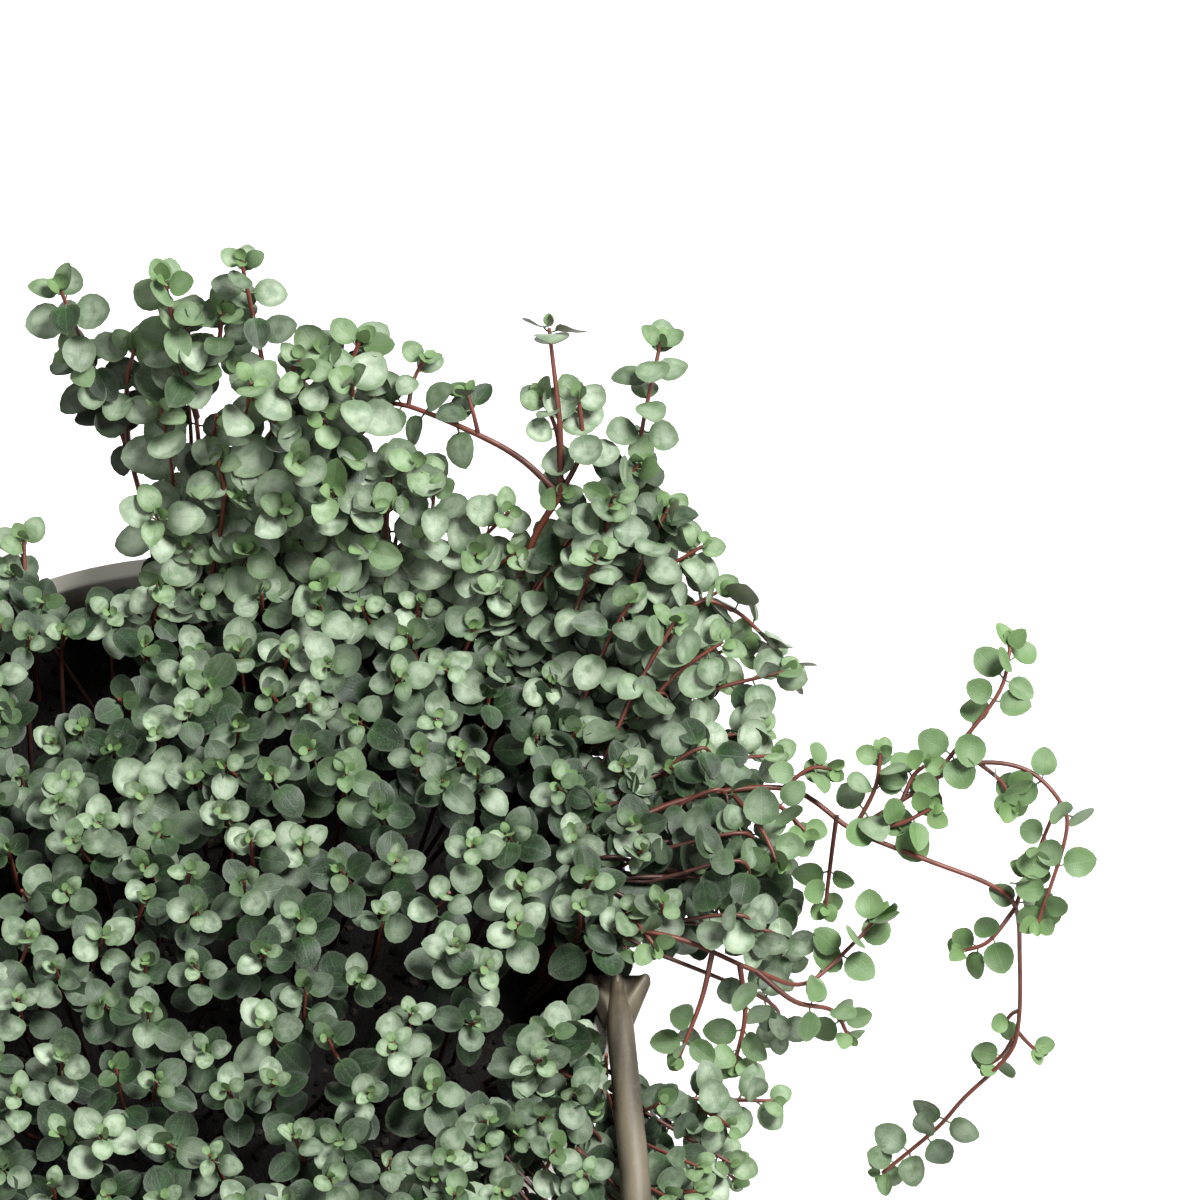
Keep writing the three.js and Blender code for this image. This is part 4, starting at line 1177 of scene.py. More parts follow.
@dataclass
class Soil:
    """The potting mix: an uneven surface with crumbs and grit, over a plain body in the pot."""

    pot: Pot
    below_rim: float = 14.0
    gap: float = 0.4
    rings: int = 26
    facets: int = 72
    unevenness: float = 1.5
    density: float = 90000.0
    crumb: tuple = (0.35, 1.5)

    def lumps(self) -> Collection:
        """A few small broken shapes for crumbs; one of them is pale grit.

        Returns:
            The collection of shapes.
        """
        collection = bpy.data.collections.new("crumbs")
        rand = random.Random(4)
        for index in range(4):
            mesh = bmesh.new()
            bmesh.ops.create_icosphere(mesh, subdivisions=1, radius=1.0)
            for vertex in mesh.verts:
                vertex.co *= rand.uniform(0.7, 1.15)
                vertex.co.z *= 0.8
            data = finished(mesh, f"crumb_{index}", collection).data
            Greenery.attribute(data, "grit", "FLOAT", [float(index == 3) * 0.8] * len(data.vertices))
        return collection

    def build(self, finish: Material, scatter: GrowthTree) -> Object:
        """Makes the soil and strews its crumbs.

        Args:
            finish: Its material.
            scatter: The tree that strews the crumbs.

        Returns:
            The soil.
        """
        top = self.pot.height - self.below_rim
        bottom = self.pot.floor + self.gap + 0.3
        edge = self.pot.inside(top) - self.gap
        steps = [(edge * (1 - i / self.rings), top) for i in range(self.rings + 1)]
        profile = [(0, bottom), (self.pot.inside(bottom) - self.gap, bottom), *steps]
        body = lathe("soil_body", [(round(r, 6), z) for r, z in profile], self.facets)
        open_soil = []
        for vertex in body.data.vertices:
            upper = vertex.co.z > (top - 1) * MM
            radius = math.hypot(vertex.co.x, vertex.co.y) / MM
            if upper and radius < edge - 0.5:
                rough = noise.noise(vertex.co * 90) + 0.5 * noise.noise(vertex.co * 260)
                vertex.co.z += self.unevenness * MM * rough
            open_soil.append(upper and radius < edge - 1)
        Greenery.attribute(body.data, "open_soil", "BOOLEAN", open_soil)
        smallest, largest = (size * MM for size in self.crumb)
        values = {"Lumps": self.lumps(), "Density": self.density, "Smallest": smallest, "Largest": largest,
                  "Seed": 5, "Finish": finish}
        return settle(scatter.apply(body, "potting_soil", values), "soil", "soil")


# --- leafy shoots


@dataclass(frozen=True)
class Branch:
    """One leafy stem: its path in millimetres above the rim, the length in leaf at its tip, and sizes.

    Sink is how far the part above the rim is moved away from the photo's point of view; light is the
    direction that its leaves turn their faces to; habit stands in for the shoot's own one.
    """

    path: tuple
    leafy: float = 24.0
    leaf: float = 6.8
    gap: float = 5.5
    thick: float = 0.68
    thin: float = 0.4
    sink: float = 0.0
    light: Vector = LIGHTWARD
    habit: PairHabit | None = None


@dataclass
class Shoot:
    """A shoot with its branches, which stands for one solid of the frame."""

    name: str
    branches: tuple
    habit: PairHabit = PairHabit(tone=0.72)
    oldest: float = 0.95

    @property
    def at_back(self) -> bool:
        """Whether the shoot rises behind the pot."""
        return self.branches[0].path[-1][1] > 45 and self.branches[0].path[-1][0] > -40

    def grow(self, seed: int) -> Greenery:
        """Sets the shoot's stems and leaves.

        Args:
            seed: The seed of its small differences.

        Returns:
            The stems and leaves.
        """
        greenery = Greenery(self.name, seed)
        for branch in self.branches:
            path = StemPath([above_rim(Vector(point) - VIEWWARD * (branch.sink if point[2] > 0 else 0.0))
                             for point in branch.path])
            greenery.stem(path, branch.thick * MM, branch.thin * MM, self.oldest)
            bare = max(path.length - branch.leafy * MM, 0.0)
            greenery.pairs(path, branch.leaf * MM, branch.gap * MM, bare, branch.habit or self.habit, branch.light)
        return greenery


EDGE_ON = Vector((0.15, 0.84, 0.52)).normalized()
WHORL = PairHabit((0.3, 0.85, 1.0), (0.5, 0.7, 1.2), rises=(70, 14, 4, 0), upward=0.3, jitter=6.0, tone=0.8)
TRAILING = PairHabit(bloom=0.35, upward=0.35, aging=0.1)
CLOSE = PairHabit((0.5, 0.85, 1.0), (0.9, 1.7, 2.6, 3.2), bloom=0.75, tone=0.82)


SHOOTS = (
    Shoot("shoot_back_left", (
        Branch(((-6, 60, -16), (-8, 72, 6), (-13, 86, 26), (-21, 98, 44), (-25, 104, 53)), 34, 6.5, 3.7),
        Branch(((-17, 92, 35), (-21, 95, 40), (-23, 96, 42)), 7, 6.0, 3.4),
        Branch(((-13, 86, 26), (-13, 93, 38), (-11.5, 97, 44)), 10, 6.2, 3.8),
    ), CLOSE),
    Shoot("shoot_back_middle", (
        Branch(((3, 62, -16), (2, 74, 10), (0, 86, 34), (-1.5, 96, 53)), 26, 6.8, 4.4),
        Branch(((0, 87, 36), (-3.5, 95, 51), (-5.5, 100.5, 61)), 15, 6.2, 3.8),
        Branch(((0.5, 88, 38), (4, 94, 49), (5, 97.5, 56)), 11, 6.2, 3.8),
    ), CLOSE),
    Shoot("shoot_back_tall", (
        Branch(((13, 58, -16), (16, 71, 14), (13, 89, 43), (8.6, 102, 66)), 20, 5.8, 4.4),
        Branch(((14, 85, 38), (11, 87, 42), (8, 90, 47)), 8, 6.2, 4),
        Branch(((14.5, 88, 42), (17, 90, 45), (19, 92, 48)), 6, 5.6, 4),
    )),
    Shoot("shoot_back_right", (
        Branch(((27, 60, -16), (27, 72, 10), (25, 86, 33), (23, 95, 47)), 20, 6.6, 4.2),
        Branch(((25, 87, 34), (28, 93, 43), (30, 96.5, 47)), 10, 6.6, 4),
    ), CLOSE),
    Shoot("shoot_back_low", (
        Branch(((-2, 57, -16), (2, 66, 10), (5, 74, 27), (4, 79, 34)), 16, 6.8, 5),
    )),
    Shoot("shoot_rim_right", (
        Branch(((36, 50, -16), (35, 61, 8), (35, 72, 24), (36, 80, 32)), 16, 6.6, 5),
    )),
    Shoot("shoot_rim_left", (
        Branch(((-30, 56, -16), (-32, 67, 4), (-32.5, 76, 11)), 20, 7.2, 4.5),
        Branch(((-33, 58, -16), (-36, 68, 2), (-36, 72, 6)), 14, 7.0, 4.5),
    )),
    Shoot("runner_back", (
        Branch(((50, 44, -16), (57, 59, 10), (62, 69, 22), (67, 74, 30)), 4, 6.2, 5, 0.78, 0.7),
        Branch(((67, 74, 30), (60, 78.5, 35), (52, 82, 38), (39, 88, 38.5), (32, 90, 36)), 20, 6.0, 6, 0.72, 0.45),
        Branch(((67, 74, 30), (67, 82, 40), (65, 97, 51)), 1.5, 7.6, 5, 0.7, 0.4, 0, EDGE_ON, WHORL),
        Branch(((67, 74, 30), (66.5, 82, 38), (63.5, 88, 42)), 9, 6.2, 4, 0.6, 0.4),
        Branch(((67, 74, 30), (71, 80, 36), (70.5, 87, 43)), 12, 6.6, 3.8, 0.6, 0.4),
        Branch(((52, 82, 38), (51, 85, 41), (50, 88, 43)), 6, 5.6, 5, 0.5, 0.35),
        Branch(((39, 88, 38.5), (40, 92, 41), (42, 95, 44)), 6, 5.6, 5, 0.5, 0.35),
    )),
    Shoot("shoot_corner", (
        Branch(((57, 34, -16), (62, 42, 4), (69, 53, 14), (79, 72, 30), (83, 86, 42), (85.6, 96, 48)), 50, 6.6, 5.2,
               0.6, 0.4, 5),
        Branch(((69, 53, 14), (74, 62, 26), (77, 70, 36)), 26, 6.6, 4.6, 0.5, 0.36, 5),
        Branch(((62, 42, 4), (70, 54, 22), (74, 60, 32)), 34, 6.6, 4.6, 0.5, 0.36, 5),
    )),
    Shoot("shoot_corner_low", (
        Branch(((63, 24, -16), (67, 31, 5), (74, 44, 12), (82, 62, 25), (87, 71, 30)), 44, 6.8, 5, 0.6, 0.4, 5),
        Branch(((67, 31, 5), (75, 46, 20), (80, 52, 28)), 32, 6.6, 4.6, 0.5, 0.36, 5),
    )),
    Shoot("shoot_right_bend", (
        Branch(((66, 13, -16), (71, 20, 5), (77, 32, 9), (85, 47, 15), (92, 57, 19), (99, 57, 17), (105, 54, 12),
                (110, 50, 7)), 24, 6.6, 5.5, 0.64, 0.4, 3.5, EDGE_ON),
        Branch(((71, 20, 5), (80, 38, 16), (88, 50, 24)), 36, 6.4, 4.8, 0.5, 0.36, 3.5),
        Branch(((77, 32, 9), (88, 42, 18), (97, 47, 22)), 25, 6.4, 4.8, 0.5, 0.36, 3.5),
    ), PairHabit(bloom=0.75, tone=0.78)),
    Shoot("trailer_right", (
        Branch(((62, 2, -16), (72, 10, 4), (86, 20, 8), (108, 24, 8), (121, 18, 3), (134, 13, 1), (146, 10, -3),
                (151, 8, -8), (152, 4, -20), (152, -2, -32), (150, -6, -38), (142, -11, -45), (137, -14, -51),
                (127, -19, -59)), 20, 5.7, 4.2, 0.64, 0.42),
        Branch(((121, 18, 3), (130, 22, 7), (135, 25, 9), (141, 31, 13), (148, 39, 18), (150, 47, 21)), 26, 6.0, 6.5,
               0.5),
        Branch(((135, 25, 9), (144, 27, 12), (153, 26, 11), (159, 21, 8), (160, 16, 4), (155, 3, -5)), 30, 5.8, 8,
               0.5),
        Branch(((151, 8, -8), (146, 2, -10), (141, 1, -12)), 10, 5.4, 6, 0.5),
        Branch(((118, 20, 5), (117, 15, -2), (116, 9, -9)), 7, 5.2, 6, 0.5),
        Branch(((121, 18, 3), (125, 24, 8), (126, 29, 12)), 13, 6.0, 5.5, 0.5),
        Branch(((121, 18, 3), (129, 18, 5), (135, 20, 7)), 12, 6.2, 5.5, 0.5),
        Branch(((130, 22, 7), (132, 26, 9), (134, 27, 11)), 7, 5.4, 5.5, 0.5),
        Branch(((144, 27, 12), (148, 25, 9), (150.5, 22, 6)), 8, 5.4, 5.5, 0.45),
        Branch(((151, 8, -8), (152, 10, -5), (153.5, 13, -3)), 7, 5.6, 5.5, 0.45),
        Branch(((159, 21, 8), (157, 18, 5), (155, 14, 2)), 6, 5.2, 5.5, 0.4),
        Branch(((108, 24, 8), (113, 27, 10), (117, 27, 10)), 8, 5.4, 5.5, 0.45),
        Branch(((151, -4, -35), (149, -5, -39.5), (146.5, -6, -41.5)), 6, 5.2, 4, 0.5),
        Branch(((151.6, -3, -34), (153.3, -4, -36), (155, -5, -37.5)), 2.5, 5.4, 5, 0.45),
        Branch(((152, -1, -30), (150.8, -0.5, -32), (149.6, -1, -34)), 2.5, 5.2, 5, 0.45),
        Branch(((103, 23.5, 8), (108, 19, 9), (112, 15, 8)), 10, 6.2, 4.5, 0.5),
        Branch(((99, 22.5, 8), (104, 14, 10), (107, 8, 8)), 11, 6.4, 4.5, 0.5),
    ), TRAILING),
    Shoot("shoot_right_front", (
        Branch(((64, -4, -16), (73, -5, 5), (88, -8, 8), (103, -11, 1), (112, -10, -5), (121, -2, -4),
                (126, 4, -3)), 18, 6.0, 6.5, 0.62, 0.4),
        Branch(((103, -11, 1), (110, -15, -3), (117, -14, -8), (120, -17, -12)), 12, 5.4, 6, 0.6),
        Branch(((95, -9.6, 5.4), (93, -17, 1), (89, -26, -4)), 11, 6.0, 5, 0.6),
        Branch(((100, -10.5, 3), (101, -18, -3), (99, -25, -9)), 12, 5.8, 4.6, 0.6),
        Branch(((64, -4, -16), (73, -2, 5), (80, -4, 8), (84.5, -9.5, 7.5)), 8, 5.8, 3.8, 0.6),
        Branch(((63, -3, -16), (69, -1, 4), (71, -4, 9), (71.5, -7.5, 9)), 8, 5.8, 3.8, 0.6),
    ), TRAILING),
    Shoot("shoot_right_low", (
        Branch(((58, -34, -16), (66, -34, 3.6), (71.5, -36, 2.6), (76, -37, 0), (80, -37, -4), (90, -34, -6),
                (99, -33, -8), (106, -32, -10)), 27, 6.2, 4.6),
        Branch(((90, -34, -6), (95, -38, -5), (98, -41, -4)), 9, 6.0, 4, 0.6),
        Branch(((56, -30, -16), (65, -30, 3), (69, -31, 6), (71.8, -33, 6.5)), 9, 6.4, 3.8, 0.6),
        Branch(((57, -24, -16), (66, -22, 3), (69.5, -24, 5), (71.6, -28, 5)), 8, 6.0, 3.8, 0.6),
        Branch(((54, -38, -16), (64, -39, 3), (69, -41, 6), (72.5, -43, 6.5)), 9, 6.4, 3.8, 0.6),
    )),
    Shoot("shoot_front_corner", (
        Branch(((50, -46, -16), (57, -50, 2.8), (61, -54, 2.6), (69, -57, -4), (78, -54, -9), (88, -48, -11),
                (99, -43, -13)), 27, 6.2, 4.6),
        Branch(((78, -54, -9), (86, -54, -6), (92, -54, -5)), 12, 6.0, 4, 0.6),
    )),
    Shoot("shoot_front_right", (
        Branch(((38, -54, -16), (44, -66, 5), (50, -82, 7), (55, -96, -2), (57, -103, -18)), 26, 6.6, 6),
    )),
    Shoot("trailer_front", (
        Branch(((6, -60, -16), (9, -74, 5), (12, -92, 6), (17, -107, -6), (20, -113, -26), (17, -115, -43)), 36,
               6.6, 7),
    )),
    Shoot("trailer_front_left", (
        Branch(((-38, -50, -16), (-45, -60, 5), (-55, -74, 6), (-67, -89, -8), (-73, -97, -28), (-75, -100, -48),
                (-72, -102, -61)), 38, 6.6, 7),
    )),
    Shoot("shoot_left_front", (
        Branch(((-58, -32, -16), (-66, -34, 3.6), (-71.5, -36, 2.6), (-76, -37, 0), (-80, -38, -4), (-92, -40, -8),
                (-102, -42, -20), (-105, -42, -33)), 26, 6.6, 6),
    )),
    Shoot("trailer_left", (
        Branch(((-62, 4, -16), (-73, 6, 5), (-92, 10, 8), (-110, 14, -2), (-119, 12, -18), (-121, 7, -35)), 38, 6.6, 7),
    )),
    Shoot("shoot_left_back", (
        Branch(((-50, 40, -16), (-58, 52, 8), (-70, 66, 22), (-79, 76, 28)), 22, 6.8, 5.5),
    )),
)


# --- hanger


def sweep(mesh: BMesh, path: StemPath, radii: list[tuple[float, float]], sides: int) -> None:
    """Adds a closed round bar along a path.

    Args:
        mesh: The mesh that gets the bar.
        path: The bar's middle line.
        radii: The radius, in metres, at distances from the nearer end; it changes evenly in between. The bar
            is also painted darker near each end, by the clips, growing paler over its first 45 mm: painted shade.
        sides: How many sides the bar has.
    """
    across = (path.points[1] - path.points[0]).orthogonal().normalized()
    pale = mesh.verts.layers.float.get("worn")
    rings = []
    for index, point in enumerate(path.points):
        ahead = path.points[min(index + 1, len(path.points) - 1)]
        behind = path.points[max(index - 1, 0)]
        axis = (ahead - behind).normalized()
        across = (across - axis * across.dot(axis)).normalized()
        other = axis.cross(across)
        gone = min(path.reach[index], path.length - path.reach[index])
        radius = radii[-1][1]
        for (start, low), (end, high) in zip(radii, radii[1:]):
            if start <= gone < end:
                radius = blend(low, high, (gone - start) / (end - start))
        turns = [math.tau * i / sides for i in range(sides)]
        rings.append([mesh.verts.new(point + (across * math.cos(t) + other * math.sin(t)) * radius) for t in turns])
        # Painted shade near the ends of the bar, fading out over its first 45 mm.
        for vertex in rings[-1]:
            vertex[pale] = 0.2 * min(1.0, gone / (45 * MM))
    for first, second in zip(rings, rings[1:]):
        for i in range(sides):
            after = (i + 1) % sides
            mesh.faces.new((first[i], first[after], second[after], second[i]))
    mesh.faces.new(reversed(rings[0]))
    mesh.faces.new(rings[-1])


@dataclass
class Hanger:
    """The loose wire-like hanger of moulded plastic: a ribbed fan over the rim at each side and a folded arch."""

    pot: Pot
    clip: tuple = (77.6, -14.4)
    lift: float = 0.4
    radius: float = 2.25
    radii: tuple = ((0.0, 0.95), (3.0, 1.25), (7.5, 2.1), (12.0, 2.55), (45.0, 2.75), (80.0, 2.75))
    width: float = 12.2
    length: float = 10.0
    nose: float = 2.4
    plate: float = 0.9
    rib: float = 1.7
    rib_places: tuple = (-0.9, 0.0, 0.9)
    rib_width: float = 0.12
    fan_steps: int = 16
    fan_spread: int = 44
    jaw: tuple = (4.6, 1.0, 6.5)
    jaw_round: float = 0.35
    mark_at: tuple = (78.3, -24.5, 5.4)
    mark_radius: float = 0.8
    mark_girth: float = 0.2
    mark_steps: int = 20
    rod_sides: int = 24
    smooth_to: float = 50.0
    order: Vector = Vector((0.755, 0.571, 0.327))
    seen: tuple = ((-3.5, -18.0), (0.0, -18.0), (3.5, -18.0), (-2.0, -21.5), (2.0, -21.5))
    nose_points: tuple = ((-5.0, -13.0), (-1.7, -13.0), (1.7, -13.0), (5.0, -13.0))
    arm: tuple = ((77.8, -20, 3), (78.4, -28, 3.3), (79.7, -43, 2.8), (81, -60, -0.6), (80.5, -84, -13),
                  (76, -112, -38), (62, -140, -72), (36, -158, -100), (0, -165, -112.6))

    def arm_path(self, side: float) -> list[Vector]:
        """The middle line of one arm, from its clip to the middle of the arch.

        Args:
            side: 1 for the right arm, -1 for the left one.

        Returns:
            The points, in metres.
        """
        x, y = self.clip
        start = ((x, y + 1.9, self.lift + 1.5), (x, y - 2.6, self.lift + 1.9))
        return [above_rim((side * x, y, z)) for x, y, z in (*start, *self.arm)]

    def guarded(self, side: float, for_stems: bool) -> list[Vector]:
        """Points of one arm and its fan that leaves keep away from, and stems also from the fan's nose.

        Args:
            side: 1 for the right arm, -1 for the left one.
            for_stems: Whether the points are for stems.

        Returns:
            The points, in metres.
        """
        spots = (*self.seen, *self.nose_points) if for_stems else self.seen
        fan = [above_rim((side * (self.clip[0] + x), y, 2.0)) for x, y in spots]
        return [*StemPath(self.arm_path(side)[2:]).points, *fan]

    def fan(self, mesh: BMesh, side: float) -> None:
        """Adds the ribbed fan at one side, lofted from its wide nose to the rod.

        Args:
            mesh: The hanger's mesh.
            side: 1 for the right side, -1 for the left one.
        """
        steps, spread = self.fan_steps, self.fan_spread
        rings = []
        pale, dark = mesh.verts.layers.float.get("worn"), mesh.verts.layers.float.get("hollow")
        for step in range(steps + 1):
            share = step / steps
            y = blend(self.nose, -self.length, share)
            half = blend(self.width / 2, self.radius, max(0.0, share - 0.12) / 0.88)
            half *= 1 - 0.06 * max(0.0, 0.08 - share) / 0.08
            top = []
            for i in range(spread + 1):
                t = -1 + 2 * i / spread
                ribs = sum(math.exp(-(((t - place * (1 - share * 0.8)) / (self.rib_width + share * 0.4)) ** 2))
                           for place in self.rib_places)
                height = self.plate + self.rib * min(1.1, ribs) * min(1.0, 0.5 + share * 8) + share * 1.1
                top.append((t * half, height * (1 - 0.2 * abs(t) ** 10), min(1.0, ribs)))
            ring = [*top, (half, 0.2, 0.5), (half * 0.95, 0, 0), (-half * 0.95, 0, 0), (-half, 0.2, 0.5)]
            made = []
            for x, z, shine in ring:
                made.append(mesh.verts.new(Vector((side * (self.clip[0] + x), self.clip[1] + y,
                                                   self.pot.height + self.lift + z)) * MM))
                # Painted highlight along the ribs, strongest on the middle rib near the nose.
                made[-1][pale] = shine * (0.62 - share * 0.3) if abs(x) < half * 0.3 else shine * 0.25
                # Painted shade in the hollows between the ribs, weaker towards the rod.
                made[-1][dark] = max(0.0, 0.95 - shine * 0.75) * (1 - share * 0.5)
            rings.append(made)
        skin(mesh, rings)
        mesh.faces.new(rings[0])
        mesh.faces.new(rings[-1])

    def jaws(self, mesh: BMesh, side: float) -> None:
        """Adds the two plates of one clip, outside and inside the pot's lip.

        Args:
            mesh: The hanger's mesh.
            side: 1 for the right side, -1 for the left one.
        """
        length, thick, depth = self.jaw
        middle = self.clip[1] + self.nose - length / 2
        lip_inside = self.pot.inside(self.pot.height - self.pot.lip_height) - 0.4
        outer = math.sqrt((self.pot.rim_radius + 0.4) ** 2 - self.clip[1] ** 2) + thick
        inner = math.sqrt(lip_inside ** 2 - (middle - length / 2) ** 2) - thick
        top = self.pot.height + self.lift + self.plate * 0.6
        for x in (outer, inner):
            place = Matrix.Translation(Vector((side * x, middle, top - depth / 2)) * MM)
            size = Matrix.Diagonal(Vector((thick, length, depth, 1 / MM)) * MM)
            made = bmesh.ops.create_cube(mesh, size=1.0, matrix=place @ size)
            edges = dict.fromkeys(edge for vertex in made["verts"] for edge in vertex.link_edges)
            bmesh.ops.bevel(mesh, geom=list(edges), offset=self.jaw_round * MM, segments=2, affect="EDGES")

    def mark(self, mesh: BMesh, side: float) -> None:
        """Adds the small round moulding mark on top of the rod near the clip.

        Args:
            mesh: The hanger's mesh.
            side: 1 for the right side, -1 for the left one.
        """
        x, y, z = self.mark_at
        middle = Vector((side * x, y, 0)) * MM + UP * (RIM + z * MM)
        rings = []
        for i in range(self.mark_steps):
            out = polar(1.0, math.tau * i / self.mark_steps)
            rings.append([mesh.verts.new(middle + (out * (self.mark_radius + self.mark_girth * math.cos(t))
                                                   + UP * self.mark_girth * math.sin(t)) * MM)
                          for t in (0.0, math.tau / 3, math.tau * 2 / 3)])
        skin(mesh, [*rings, rings[0]])

    def build(self, finish: Material) -> Object:
        """Makes the hanger in one piece.

        Args:
            finish: Its material.

        Returns:
            The hanger.
        """
        mesh = bmesh.new()
        for name in ("worn", "hollow"):
            mesh.verts.layers.float.new(name)
        right, left = self.arm_path(1.0), self.arm_path(-1.0)
        radii = [(reach * MM, radius * MM) for reach, radius in self.radii]
        sweep(mesh, StemPath([*right, *reversed(left[:-1])]), radii, self.rod_sides)
        for side in (1.0, -1.0):
            self.fan(mesh, side)
            self.jaws(mesh, side)
            self.mark(mesh, side)
        bmesh.ops.recalc_face_normals(mesh, faces=mesh.faces)
        # Bevels leave new points and faces in no fixed order.
        mesh.verts.sort(key=lambda vertex: vertex.co.dot(self.order))
        mesh.faces.sort(key=lambda face: face.calc_center_median().dot(self.order))
        piece = finished(mesh, "hanger_wire")
        piece.data.shade_smooth()
        piece.data.set_sharp_from_angle(angle=math.radians(self.smooth_to))
        piece.data.materials.append(finish)
        return settle(piece, "hanger", "hanger")


# --- the mat


@dataclass(frozen=True)
class Cover:
    """A row of tips side by side: its angles, the ranges of their radius and height, and how far they lean out."""

    start: float
    end: float
    step: float
    radii: tuple
    heights: tuple
    outward: float
    upward: float

    def tips(self, rand: random.Random) -> list[tuple[Vector, Vector]]:
        """Where the row's tips stand and the way that each faces.

        Args:
            rand: Gives the small differences.

        Returns:
            Each tip, in millimetres above the rim, and its direction.
        """
        found = []
        for i in range(round((self.end - self.start) / self.step)):
            angle = math.radians(self.start + i * self.step)
            lean = polar(self.outward, angle, self.upward) + Vector((rand.gauss(0, 0.2), rand.gauss(0, 0.2), 0))
            found.append((polar(rand.uniform(*self.radii), angle, rand.uniform(*self.heights)), lean.normalized()))
        return found


